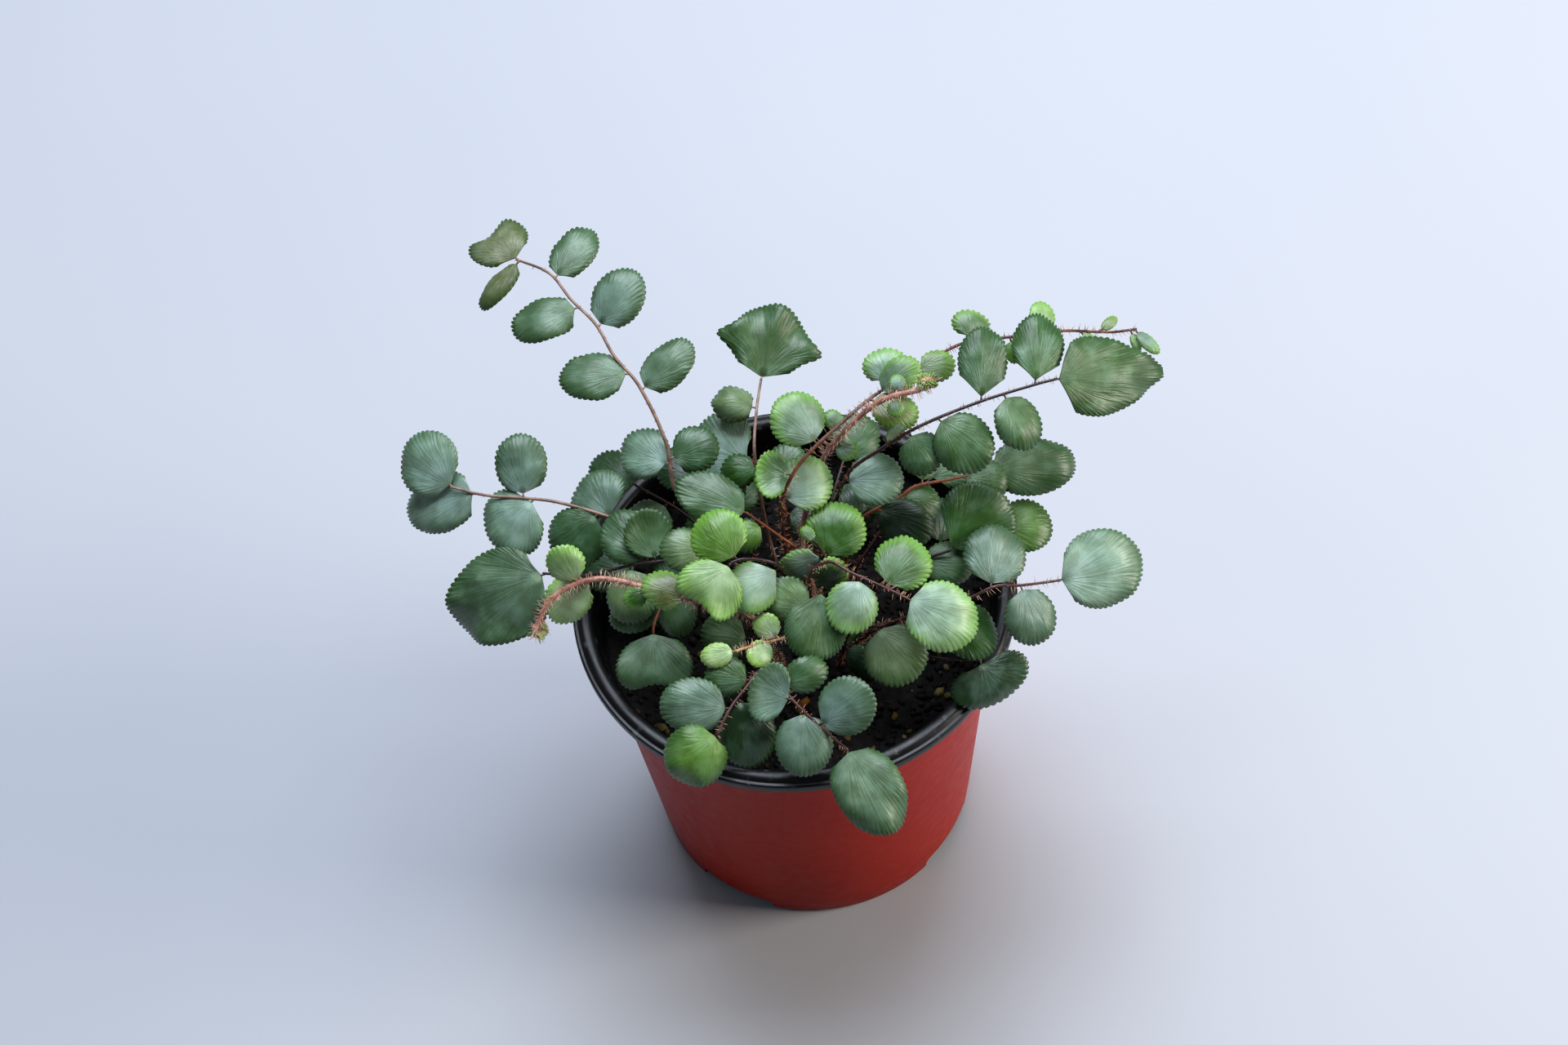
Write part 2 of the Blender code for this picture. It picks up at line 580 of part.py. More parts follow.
def bends():
    """Ways to bend a leaflet clear, the least first: swing, nod and roll in degrees, and a size."""
    ways = []
    for size in (1.0, 0.93, 0.86, 0.78):
        for swing in (0, -8, 8, -16, 16, -24, 24):
            for nod in (0, -9, 9, -18, 18, -27, 27, -38, 38):
                for roll in (0, -10, 10, -20, 20, -32, 32):
                    effort = (1 - size) * 160 + abs(swing) + 0.6 * abs(nod) + 0.5 * abs(roll)
                    ways.append((effort, swing, nod, roll, size))
    return [way[1:] for way in sorted(ways, key=lambda way: way[0])]


def guard_ring():
    """A tree of a thick ring round the pot's lip and wall that no leaflet may enter."""
    over, under = POT_HEIGHT + 0.4, POT_HEIGHT - SKIRT_DROP - 0.6
    inner, outer = outer_radius(SOIL_TOP) - WALL - 0.6, RIM_RADIUS + 0.5
    profile = [(inner, SOIL_TOP - 6), (inner, over), (outer, over), (outer, under),
               (outer_radius(under) + 1.6, under), (outer_radius(WALL_MIDDLE) + 1.0, WALL_MIDDLE),
               (inner - 3, WALL_MIDDLE)]
    bm = bmesh.new()
    points = [bm.verts.new((radius, 0.0, height)) for radius, height in profile]
    edges = [bm.edges.new(pair) for pair in zip(points, points[1:] + points[:1])]
    bmesh.ops.spin(
        bm, geom=points + edges, cent=(0, 0, 0), axis=(0, 0, 1), angle=math.tau, steps=64, use_merge=True
    )
    return search_tree(bm)[0]


def wanted_leaflets(lines):
    """Every leaflet as its frond's row states it, with a small seeded tilt, the highest first."""
    found = []
    for name, (_, _, rows) in FRONDS.items():
        line = lines[name]
        for number, (place, swing, length, width, *rest) in enumerate(rows):
            form = rest[0] if rest else "round"
            nod, roll = rest[1:] if len(rest) > 1 else (0, 0)
            draw = random.Random(f"{SEED} {name} {number}")
            nod += draw.uniform(-NOD_SPREAD, NOD_SPREAD)
            roll += draw.uniform(-ROLL_SPREAD, ROLL_SPREAD)
            phase = draw.uniform(0, math.tau)
            index = min(round(place * (len(line) - 1)), len(line) - 1 - TIP_OVERRUN)
            tangent = line[min(index + 6, len(line) - 1)] - line[max(index - 6, 0)]
            found.append(Leaflet(name, line[index], tangent, swing, length, width, form, nod, roll, phase))
    return sorted(found, key=lambda leaflet: -leaflet.base.z)


def is_clear(leaflet, near, ribs, ring):
    """Whether a leaflet keeps off the soil, the pot, the other midribs and the leaflets near it."""
    frame = leaflet_frame(leaflet)
    tree, points = search_tree(leaflet_bmesh(leaflet, CLEARANCE), frame)
    if min(point.z for point in points) < SOIL_TOP + 1.0 or tree.overlap(ring):
        return False
    if any(name != leaflet.frond and tree.overlap(rib) for name, rib in ribs.items()):
        return False
    if any(other.leaflet.frond != leaflet.frond and tree.overlap(other.tree) for other in near):
        return False
    blade, _ = search_tree(leaflet_bmesh(leaflet, 0.1, PETIOLE_LENGTH), frame)
    return not any(other.leaflet.frond == leaflet.frond and blade.overlap(other.tree) for other in near)


def lay_out(lines):
    """Places every leaflet, from the highest down, each bent clear of those already placed."""
    ribs = {name: search_tree(make_midrib(name, line))[0] for name, line in lines.items()}
    ring = guard_ring()
    ways = bends()
    placed = []
    for leaflet in wanted_leaflets(lines):
        reach = leaflet.length * 1.2 + 3
        near = [other for other in placed if (other.centre - leaflet.base).length < other.reach + reach]
        for swing, nod, roll, size in ways:
            bent = leaflet._replace(
                swing=leaflet.swing + swing,
                nod=leaflet.nod + nod,
                roll=leaflet.roll + roll,
                length=leaflet.length * size,
                width=leaflet.width * size,
            )
            if is_clear(bent, near, ribs, ring):
                break
        else:
            raise RuntimeError(f"no room for a leaflet of {leaflet.frond}")
        tree, points = search_tree(leaflet_bmesh(bent), leaflet_frame(bent))
        centre = sum(points, Vector()) / len(points)
        placed.append(Placed(bent, tree, centre, max((point - centre).length for point in points)))
    return [place.leaflet for place in placed]


def make_frond(name, line, leaflets):
    """One frond: its midrib with every leaflet joined on."""
    frond = add_object(name, make_midrib(name, line))
    blades = new_collection(name + " blades")
    for leaflet in leaflets:
        if leaflet.frond == name:
            bm = leaflet_bmesh(leaflet)
            bmesh.ops.transform(bm, matrix=leaflet_frame(leaflet), verts=bm.verts)
            add_object("blade", bm, blades)
    boolean(frond, "UNION", blades, "MANIFOLD")
    frond.data.materials.clear()
    frond.data.materials.append(material(name + " leaf", LEAF_COLOURS[FRONDS[name][0]], 0.5))
    frond.data.shade_smooth()
    frond.data.set_sharp_from_angle(angle=math.radians(50))


def main():
    for old in list(bpy.data.objects):
        bpy.data.objects.remove(old)
    make_pot()
    make_soil()
    lines = {name: midrib_line(name) for name in FRONDS}
    leaflets = lay_out(lines)
    for name in FRONDS:
        make_frond(name, lines[name], leaflets)


main()
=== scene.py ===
"""Button fern in a nursery pot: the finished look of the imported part.

Every frond, the soil and the pot get a finer piece in place of their plain solid, on the same midrib
routes and leaflet places. Sizes are in millimetres and become metres where a mesh is made. The front
of the plant is towards -Y.
"""

import json
import math
import random
from collections import namedtuple

import bmesh
import bpy
from mathutils import Matrix, Vector, noise

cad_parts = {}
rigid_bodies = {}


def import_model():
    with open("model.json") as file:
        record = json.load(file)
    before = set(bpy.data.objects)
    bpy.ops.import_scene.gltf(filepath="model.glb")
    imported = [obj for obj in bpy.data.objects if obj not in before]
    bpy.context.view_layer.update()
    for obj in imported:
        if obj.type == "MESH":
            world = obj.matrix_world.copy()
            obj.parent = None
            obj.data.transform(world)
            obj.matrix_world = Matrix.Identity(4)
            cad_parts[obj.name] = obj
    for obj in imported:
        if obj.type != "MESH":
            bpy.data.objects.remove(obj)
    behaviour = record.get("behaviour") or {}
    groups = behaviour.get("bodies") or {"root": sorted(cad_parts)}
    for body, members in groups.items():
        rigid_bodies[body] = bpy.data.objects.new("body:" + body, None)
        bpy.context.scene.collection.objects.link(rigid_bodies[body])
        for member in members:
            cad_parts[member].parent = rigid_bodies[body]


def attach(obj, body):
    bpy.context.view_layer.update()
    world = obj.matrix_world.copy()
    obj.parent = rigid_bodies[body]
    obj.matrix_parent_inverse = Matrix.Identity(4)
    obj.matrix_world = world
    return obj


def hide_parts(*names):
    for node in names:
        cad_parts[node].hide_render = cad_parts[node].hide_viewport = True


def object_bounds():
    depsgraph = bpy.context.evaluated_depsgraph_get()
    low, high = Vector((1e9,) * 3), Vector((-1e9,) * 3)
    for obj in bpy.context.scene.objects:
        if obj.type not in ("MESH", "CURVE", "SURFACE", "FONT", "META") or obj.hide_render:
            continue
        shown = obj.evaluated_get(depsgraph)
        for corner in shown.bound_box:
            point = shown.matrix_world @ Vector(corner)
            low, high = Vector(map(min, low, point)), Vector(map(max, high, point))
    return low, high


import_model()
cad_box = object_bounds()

MM = 0.001
SEED = 5

# Camera: a 70 mm lens on a 36 mm wide frame, looking down at the plant, a little tilted
LENS = 70.0
SENSOR = 36.0
ELEVATION = math.radians(56)
TILT = math.radians(-6.78)
DISTANCE = 792.7
TARGET = Vector((-0.44, 0.0, 134.68))

# Pot
RIM_RADIUS = 60.0
BASE_RADIUS = 45.3
WALL_TOP = 96.0
WALL_TOP_RADIUS = 54.3
WALL = 0.8
FLOOR = 1.2
SKIRT_FOOT = 98.2
LEDGE = 99.8
POT_SIDES = 144
DRAIN_ANGLES = (-126, -36, 54, 144)
DRAIN_WIDTH = 23.0
DRAIN_HEIGHT = 5.0
DRAIN_DEPTH = 5.5
DRAIN_ROUNDING = 2.0
SHARP_ANGLE = math.radians(50)

# Soil
SOIL_TOP = 90.0
SOIL_SIDES = 120
SOIL_RINGS = 36
SOIL_ROLL = 1.3
CRUMBS = 1500
CRUMB_SIZES = (0.7, 0.9, 1.1, 1.4, 1.9, 2.6)
CRUMB_SHADES = ("#0b0907", "#120d0a", "#1a120c", "#0e0b09", "#24190f", "#160f0b")
PALE_SHARE = 0.035
PALE_SHADES = ("#5d4424", "#6f5a33", "#7a6a4a")
FIBRES = 90
FIBRE_POINTS = 7
FIBRE_RADIUS = 0.11
FIBRE_SHADES = ("#2e1a10", "#3d2414", "#1c130d")

# Fronds
STALK_RADIUS = 0.64
TIP_RADIUS = 0.36
CROZIER_RADIUS = 0.85
COIL_RADIUS = 0.7
COIL_STEPS = 24
COIL_SHRINK = 0.62
ROUTE_STEPS = 4
KNOT_STEP = 4
TANGENT_REACH = 6
TIP_OVERRUN = 3
HOLE_DEPTH = 8.0
PETIOLE_LENGTH = 1.2
FOLDED_SIZE = 3.5
FACING = Vector((0.0, -0.42, 0.91))
OUTWARD = 0.0038

# Blades: thickness, rows of faces from the petiole to the margin, and the scallops of the margin
BLADE = 0.42
BLADE_ROWS = 8
BUD_ROWS = 5
ROW_CROWDING = 1.25
SCALLOP_PITCH = 1.8
SCALLOP_POINTS = 5
SCALLOP_OUT = 0.5
FEWEST_SCALLOPS = 14
RAGGED = 0.03
RIB_HEIGHT = 0.1
FINE_RELIEF = 0.18
BUCKLE = 0.085
TURNED_DOWN = 0.5
MARGIN_THINNING = 0.6
NOTCH_SHARPNESS = 6
CLEFT_SHARPNESS = 12
LOBE_SHARPNESS = 24
LOBE_BACK = 0.09

# Blade forms: taper widens the base, wedge is how far round in degrees the straight sides of the base
# reach, notch cuts the base in, cleft cuts in the tip or draws it out if negative, wave lifts the margin
# in folds, dome lifts the middle, and lobe draws each side out to a point
FORM_KEYS = ("taper", "wedge", "notch", "cleft", "wave", "folds", "dome", "lobe")
FORM_VALUES = {
    "round": (0.04, 34, 0.0, 0.0, 0.35, 2, 1.1, 0.0),
    "obovate": (-0.04, 62, 0.0, 0.0, 0.7, 3, 1.1, 0.0),
    "spade": (0.26, 46, 0.0, -0.14, 1.2, 3, 1.2, 0.0),
    "shell": (0.10, 30, 0.05, 0.0, 2.0, 3, 1.5, 0.0),
    "crown": (0.0, 40, 0.0, 0.0, 1.6, 4, 1.0, 0.42),
    "kidney": (-0.05, 26, 0.22, 0.0, 0.9, 3, 1.4, 0.0),
    "cleft": (-0.05, 36, 0.0, 0.22, 0.9, 3, 1.2, 0.0),
    "domed": (0.0, 26, 0.1, 0.0, 1.2, 4, 3.0, 0.0),
    "cupped": (0.0, 34, 0.0, 0.0, 0.5, 2, -1.6, 0.0),
    "bud": (0.0, 30, 0.0, 0.0, 0.0, 2, 0.5, 0.0),
}
FORMS = {name: dict(zip(FORM_KEYS, values)) for name, values in FORM_VALUES.items()}

# Leaf tones, from the oldest and most shaded blades to the newest, and the folded ones of a coiled tip
# Each tone holds painted light with the blade's own green: the darkest are painted shade, the bluish greys a
# painted sheen, and the palest painted light on blades that lie in shade
TONES = {
    "deep": "#083303", "slate": "#3d6339", "moss": "#2c5d0b", "olive": "#4b6d40", "green": "#426533",
    "sage": "#5f6736", "bloom": "#6b8677", "meadow": "#778e61", "grass": "#588326", "fresh": "#597658",
    "frost": "#94b1a2", "lime": "#8cac7b", "pale": "#c6e4b0", "downy": "#b6c688",
}

# Each frond: midrib route from the soil to the tip, and its leaflets. The first route point is the root
# (x, y). A leaflet is its place along the midrib from 0 to 1, its swing from the midrib in degrees (left
# positive), its length and width, nod and roll in degrees, fold phase, tone, and form if it isn't round.
FRONDS = {
    "frond_back_left_tall": (
        [(-11, 9), (-13, 10, 96), (-20, 15, 112), (-28, 20, 126), (-29, 29, 136), (-34.5, 43, 144),
         (-40, 51, 147), (-44, 60, 150), (-50, 68, 152), (-55, 76, 154), (-64, 84, 152)],
        [(0.43, 60, 14.5, 14, 9.2, -6.2, 5.53, "frost"), (0.44, -74, 12.5, 13, 0.8, 5.1, 4.53, "slate"),
         (0.59, -76, 17, 12.5, -6.1, -7.6, 5.53, "fresh"), (0.63, 50, 18, 14, -3.9, 4.4, 2.06, "fresh"),
         (0.75, -69, 17, 14, -9.5, 11.5, 4.37, "bloom"), (0.81, 62, 18, 13, -3.8, 0.8, 4.69, "fresh"),
         (0.89, -67, 17, 12, 8.7, 5, 2.87, "fresh"), (0.99, 78, 15.5, 8, 5, 8, 4.92, "sage"),
         (1, -16, 15.5, 17, -0.9, 11.9, 1.09, "sage", "cleft")],
    ),
    "frond_left_upper": (
        [(-16, 5), (-17, 6, 98), (-26, 9, 114), (-43, 13, 125), (-59, 20, 127), (-69, 23, 127),
         (-79, 26, 126), (-88, 30, 126)],
        [(0.56, -33, 13.5, 17, 8.1, -8.9, 0.18, "bloom"), (0.6, 62, 15.5, 16.5, 9.4, -9.3, 2.83, "slate"),
         (0.8, -80, 16, 14, -10, 5.3, 1.08, "bloom"), (0.77, 48, 16, 19.5, 8.4, -1.6, 1.57, "frost"),
         (1, -28, 17.5, 18, -7.4, -11.9, 5.08, "frost"), (0.93, 18, 24, 17, 14.6, -5.9, 1.1, "frost")],
    ),
    "frond_left_big": (
        [(-13, -1), (-14, -1, 100), (-18, -2, 116), (-25, -3, 126), (-39, -1, 125), (-54, 0, 121),
         (-65.5, 3.5, 119)],
        [(0.64, -80, 13, 13, -14.2, 17.3, 0.91, "olive", "cupped"),
         (0.67, -59, 15, 15, 0.3, 13.3, 0.27, "slate"), (0.72, 82, 14.5, 14, 5.8, 6.9, 2.92, "meadow"),
         (1, 28, 31, 25, 8.7, -9.6, 0.72, "fresh", "shell")],
    ),
    "frond_left_crozier": (
        [(-9, -5), (-11, -7, 100), (-18, -13, 118), (-26, -17, 129), (-32, -15, 130), (-40, -11, 130),
         (-48, -7.5, 129.5), (-54, -7, 129), (-60, -8.5, 128), (-64, -10.5, 126), (-66, -12.5, 123.5),
         (-68, -15, 121.5)],
        [(0.53, -10, 12, 10, -5.5, 9, 2.05, "sage"), (0.64, 51, 6.5, 5.5, -1.6, -11.9, 0.05, "moss", "bud"),
         (0.83, -82, 10.5, 10, -31.7, 0.1, 5.83, "lime"), (0.8, 22, 17.5, 12.5, 29, -8, 4.76, "pale"),
         (0.82, -52, 6, 5.5, 6.5, -2.9, 4.91, "grass", "bud")],
    ),
    "frond_centre_bright": (
        [(-3, -7), (-2, -8, 100), (-2, -9, 118), (-4, -10, 131), (-12, -10, 135), (-16, -11, 135)],
        [(0.96, -70, 14, 15, 2.7, 0.5, 3.67, "grass"),
         (0.74, 84, 15, 13.5, -6.1, -2.7, 0.39, "frost", "obovate"),
         (1, 30, 15.5, 17.5, -7.3, -8.4, 4.8, "lime", "cleft")],
    ),
    "frond_centre_high": (
        [(3, -4), (4, -4, 100), (3, -3.5, 116), (2, -3, 126), (-2, -1, 130), (-10, 5, 134)],
        [(0.9, 60, 9.5, 9, 6.2, 1.2, 0.64, "grass"), (1, 10, 19.5, 14, -1.1, 7.7, 0.23, "olive")],
    ),
    "frond_centre_left": (
        [(-8, 2), (-9, 2, 100), (-13, 1, 116), (-20, -1, 127)],
        [(1, 14, 13, 12, -18.4, 6.4, 2.46, "meadow")],
    ),
    "frond_front_left": (
        [(-17, -3), (-18.5, -3.5, 98), (-22, -6, 112), (-28, -6, 120), (-34, -9, 118), (-37, -14, 117),
         (-38, -17, 116)],
        [(0.86, -45, 14, 10.5, 8.8, 11.7, 1.94, "slate"), (0.76, 52, 12, 10.5, 8.3, 8.4, 6.23, "olive"),
         (1, 11, 17, 20, -4, -7.2, 3.77, "fresh", "cleft")],
    ),
    "frond_front_young": (
        [(2, -16), (3, -18, 98), (3, -21, 110), (1, -23, 117), (-5, -25, 118), (-13, -28, 121),
         (-17, -29.5, 122)],
        [(0.76, -61, 7.5, 7, -8.8, -9.4, 6.12, "pale", "bud"),
         (0.8, 31, 8, 7, -28.2, -8.3, 1.95, "lime", "bud"),
         (1, -6, 8.5, 6.5, -1.9, -9.1, 2.42, "pale", "bud")],
    ),
    "frond_front_low": (
        [(-6, -17), (-6, -19, 98), (-7, -23, 109), (-9, -27, 115), (-13, -35, 117), (-20, -43, 116),
         (-24, -49, 114)],
        [(0.875, -63, 17, 14.5, -7.4, -0.9, 2.65, "bloom"), (0.82, 50, 18, 15, 12.1, -8.5, 1.94, "deep"),
         (0.73, -66, 11, 11, 4.5, 4.7, 1.28, "green"),
         (1, -20, 17, 16.5, -0.9, -9.6, 4.16, "grass", "domed")],
    ),
    "frond_front_droop": (
        [(-2, -20), (-3, -23, 98), (-6, -28, 111), (-8, -33, 118), (-4, -43, 118), (4.5, -52.5, 114),
         (9, -56.5, 111.5)],
        [(0.73, -150, 10.5, 16, -9.3, -1.7, 5.16, "bloom", "cupped"),
         (0.66, 80, 11.5, 9.5, 4.6, 6.1, 2.84, "slate"), (0.78, -43, 16, 15, 0.1, 0.5, 5.07, "bloom"),
         (0.86, 77, 16, 15, -18.1, -8.7, 0.01, "bloom"),
         (1, -21, 25, 18, -7.4, -9.1, 2.25, "fresh", "shell")],
    ),
    "frond_right_near": (
        [(2, -11), (3, -12, 100), (4, -13, 116), (5, -12, 128), (10, -12, 132), (15, -16, 132),
         (23, -21, 131), (29, -25, 130)],
        [(0.56, -74, 9.5, 11, 7.9, 42.7, 0.02, "deep"), (0.82, -83, 14, 13.5, 6.4, 1.4, 0.19, "frost"),
         (0.91, 80, 14.5, 15, 8.7, -10.7, 3.2, "olive"), (1, 2, 19.5, 18, 6.6, -3.7, 1.51, "frost")],
    ),
    "frond_right_long": (
        [(14, -14), (16, -16, 98), (20, -19, 108), (26, -21, 114), (37, -21, 118), (46, -22, 123),
         (52, -21, 125), (58, -21, 124), (69, -20, 122.5)],
        [(0.6, -60, 16.5, 14.5, -4, -6.8, 5.36, "moss"), (0.77, 57, 16, 16.5, 7.6, -3.1, 0.61, "bloom"),
         (0.87, -75, 15, 14, 5.8, -2.3, 1.52, "bloom"), (1, 8, 23, 20.5, -1.4, 5.2, 3.9, "frost")],
    ),
    "frond_right_low": (
        [(10, -18), (11, -19, 98), (13, -21, 110), (17, -23, 116), (21, -24.5, 118)],
        [(0.45, 12, 11, 10.5, -9.2, 4.1, 3.85, "moss"), (0.4, -110, 10.5, 9, -29.1, 41.3, 3.56, "deep"),
         (1, -57, 16, 17, 0.5, 7.1, 4.86, "meadow")],
    ),
    "frond_right_rim": (
        [(15, -19), (21, -24, 103), (32, -30, 109), (37, -32.5, 111), (46.5, -34, 110.5)],
        [(1, -58, 14.5, 21.5, 3.9, 7.8, 0.2, "deep", "kidney")],
    ),
    "frond_right_upper": (
        [(9, 4), (10, 5, 102), (12, 6, 124), (18, 9, 141), (27, 11, 147), (37, 13, 152), (53, 17, 154),
         (68, 19, 156), (74, 20, 156)],
        [(0.47, -55, 14.5, 14.5, 0.2, 0.8, 4.67, "frost"), (0.6, 20, 6, 4, -17.9, -2, 2.82, "meadow", "bud"),
         (0.66, -83, 11, 12, 9.7, 5.2, 6.24, "slate"), (0.73, -67, 16.5, 15.5, -0.6, 9.7, 0.44, "green"),
         (0.83, 68, 18.5, 13, -5.3, -3.9, 4.81, "slate", "obovate"),
         (0.88, -77, 14.5, 13, 3.3, -9, 2.3, "olive"),
         (0.95, 66, 19.5, 13.5, 7.1, -11.1, 4.5, "moss", "obovate"),
         (1, -4, 29, 20.5, 8.3, 8.1, 5.87, "green", "spade")],
    ),
    "frond_right_back": (
        [(14, 4), (14.5, 5, 100), (16, 6, 112), (19, 7, 121), (31, 11, 124), (35, 13, 125), (45, 14, 125),
         (55.5, 16, 124)],
        [(0.5, 60, 9.5, 9.5, 3.3, -1.7, 4.9, "deep"), (0.59, -56, 15, 13, -9.7, 10.3, 4.09, "deep"),
         (0.67, -45, 10, 11.5, -1.8, -5, 1.14, "green"), (0.76, 68, 13, 9.5, -3.6, 10.9, 5.69, "olive"),
         (0.9, -27, 11, 13, -4.2, 4, 0.8, "olive"), (1, -5, 24.5, 15.5, 4.7, 4.2, 0.26, "slate")],
    ),
    "frond_right_thin": (
        [(2, 6), (0, 6, 104), (-1, 5, 124), (0, 5, 139), (6, 10, 147), (20, 20, 151), (28, 26, 151),
         (47.5, 36, 152.5), (53, 37, 153.5), (67, 37, 153.5), (78, 37, 153.5), (90.5, 37, 150.5),
         (97.5, 37, 150.5)],
        [(0.38, 120, 8.5, 13, -5.2, 5.1, 3.77, "green", "cupped"),
         (0.44, 83, 14.5, 15, -9.8, 11.4, 1.97, "bloom"), (0.33, -36, 14, 14.5, 2.4, 10.5, 2.4, "frost"),
         (0.55, -65, 12.5, 11, -5.9, -8.2, 2.73, "sage"), (0.59, 66, 9, 12, -5.9, -2.6, 3.27, "frost"),
         (0.57, -1, 12, 9.5, -30.7, -5, 2.24, "fresh"), (0.64, -23, 9.5, 8.5, -4.4, 5.2, 2.22, "meadow"),
         (0.74, 80, 8, 10.5, 1, 5.4, 2.16, "fresh"), (0.8, -81, 6, 4.5, 8.9, 10.8, 2.85, "grass", "bud"),
         (0.85, 79, 8, 7.5, 4, 9.9, 0.32, "lime", "bud"), (0.91, -47, 4.5, 4.5, 2.4, -6, 2.51, "lime", "bud"),
         (0.94, 41, 5.5, 3, -5.3, -10.1, 0.6, "meadow", "bud"),
         (0.99, -67, 5, 3, 10.4, 0.9, 3.01, "lime", "bud"), (1, -54, 8, 4, -9.8, 4.7, 2.39, "bloom", "bud")],
    ),
    "frond_right_crozier": (
        [(5, 1), (5, 1, 104), (4, 2, 126), (12, 16, 139), (18, 17.5, 147.5), (25.5, 18.5, 155.5),
         (31, 18.5, 159), (36.5, 18.5, 160), (40, 19, 160.5)],
        [(0.73, 84, 6, 5, -3.3, 2.6, 2.73, "fresh", "bud"),
         (0.68, -64, 6, 6, -8.3, 1.6, 5.65, "fresh", "bud"),
         (0.92, 69, 4.5, 4.5, 4.7, 5.7, 2.4, "bloom", "bud"),
         (0.91, -87, 4.5, 4.5, -1.5, 6.6, 5.74, "fresh", "bud")],
    ),
    "frond_back_single": (
        [(-4, 17), (-5, 20, 98), (-6, 25, 116), (-6, 30, 127), (-4, 43, 128), (-2, 52, 128)],
        [(0.86, 82, 12.5, 10.5, -0.9, 5.3, 2.06, "meadow", "domed"),
         (1, -6, 20.5, 20.5, -9.2, 9.1, 5.44, "green", "crown")],
    ),
    "frond_back_middle": (
        [(1, 10), (1, 11, 100), (0.5, 13, 111), (0, 16, 119), (-3, 25, 120), (-7.5, 33, 118)],
        [(0.62, -120, 10.5, 10, -1.5, -8.7, 2.85, "deep"), (0.74, -45, 12.5, 12, -9.9, 2.5, 3.14, "olive"),
         (0.92, 55, 9.5, 9.5, 5.8, -5.1, 4.03, "moss"), (1, 42, 22, 27, 8.7, -11.8, 4.55, "frost", "kidney")],
    ),
    "frond_centre_upright": (
        [(10, -8), (10, -8, 100), (10, -8, 116), (8.5, -8, 130), (7, -8, 136)],
        [(0.84, -50, 14.5, 16, -2.2, 2.2, 5.11, "moss"), (0.86, 82, 12, 10.5, 32.4, -40.5, 4.19, "frost"),
         (1, 0, 4.5, 3.5, 7.2, 4.1, 3.05, "olive", "bud")],
    ),
    "frond_centre_fan": (
        [(6, -15), (5, -16, 100), (4, -17, 115), (5, -18, 123), (7.5, -17, 128)],
        [(0.78, 77, 12.5, 12, -15, -9, 3.46, "lime"),
         (1, -157, 17.5, 16.5, -2, -5, 2.17, "green", "obovate")],
    ),
    "frond_right_middle": (
        [(16, -6), (18, -7, 100), (23, -8, 114), (32, -9, 122), (42, -9, 126)],
        [(0.84, -25, 13, 12, -4.3, 4, 3.4, "olive"), (1, 30, 19.5, 21, -9.8, 2.1, 2.89, "moss", "obovate")],
    ),
    "frond_right_behind": (
        [(19, 2), (24, 3, 97), (38, 4, 108), (56, 5, 112)],
        [(0.7, 70, 12, 11, 5.6, 8, 6.16, "deep"), (1, -5, 14.5, 15, -6, -11.8, 2.05, "grass")],
    ),
    "frond_left_dark": (
        [(-13, 14), (-17, 17, 98), (-27, 22, 112), (-39, 27, 121)],
        [(0.8, 75, 13, 13, -6.8, -1.6, 5.65, "green"), (1, -5, 14.5, 13, 6.6, 7.3, 4.54, "slate")],
    ),
    "frond_front_dark": (
        [(-9, -12), (-11, -12.5, 97), (-13.5, -13, 101)],
        [(1, 18, 12.5, 14, 6.9, -16.8, 3.12, "lime")],
    ),
    "frond_back_right_low": (
        [(8, 15), (10, 19, 97), (14, 29, 103), (18, 38, 106)],
        [(0.62, -70, 12, 13, 5.4, 7.7, 5.4, "olive"), (0.7, 68, 13, 13, -7.1, 2.4, 1.66, "olive"),
         (1, -10, 14, 14, 3.6, 9.9, 0.04, "slate")],
    ),
    "frond_back_left_low": (
        [(-9, 17), (-12, 20, 97), (-17, 28, 102), (-22, 36, 105)],
        [(0.62, 70, 12, 13, 8.6, -0.3, 4.34, "slate"), (0.72, -68, 13, 13, 6.5, 10.2, 0.88, "olive"),
         (1, 10, 14, 14, 3.6, 9.3, 0.02, "deep")],
    ),
    "frond_right_back_low": (
        [(17, 10), (22, 14, 97), (31, 22, 103), (41, 28, 106)],
        [(0.65, 70, 12, 13, -9.1, -11.1, 3.28, "olive"), (0.78, -68, 12, 12, 2.8, -9.3, 3.77, "slate"),
         (1, 0, 15, 15, 0.8, -8, 2.04, "olive")],
    ),
    "frond_left_low": (
        [(-19, 2), (-24, 4, 97), (-34, 6, 103), (-42, 9, 105)],
        [(0.7, -68, 13, 13, 9.7, -4.1, 0.77, "slate"), (0.8, 70, 12, 13, 0.9, -4.4, 3.07, "olive"),
         (1, 0, 15, 15, -7.4, 10.5, 4.63, "slate")],
    ),
}

# Fronds that aren't old leathery ones: the finish of their blades
AGES = {
    "frond_left_crozier": "young", "frond_centre_bright": "young", "frond_front_young": "lime",
    "frond_right_near": "young", "frond_right_thin": "young", "frond_right_crozier": "young",
    "frond_centre_upright": "young",
}

# The young fronds whose tips are still coiled: coil radius and turns
CROZIERS = {"frond_left_crozier": (2.2, 0.9), "frond_right_crozier": (-1.9, 1.0)}

# A dressed frond's materials, in order after its blade's
UNDERSIDE, STALK, BRISTLE = 1, 2, 3

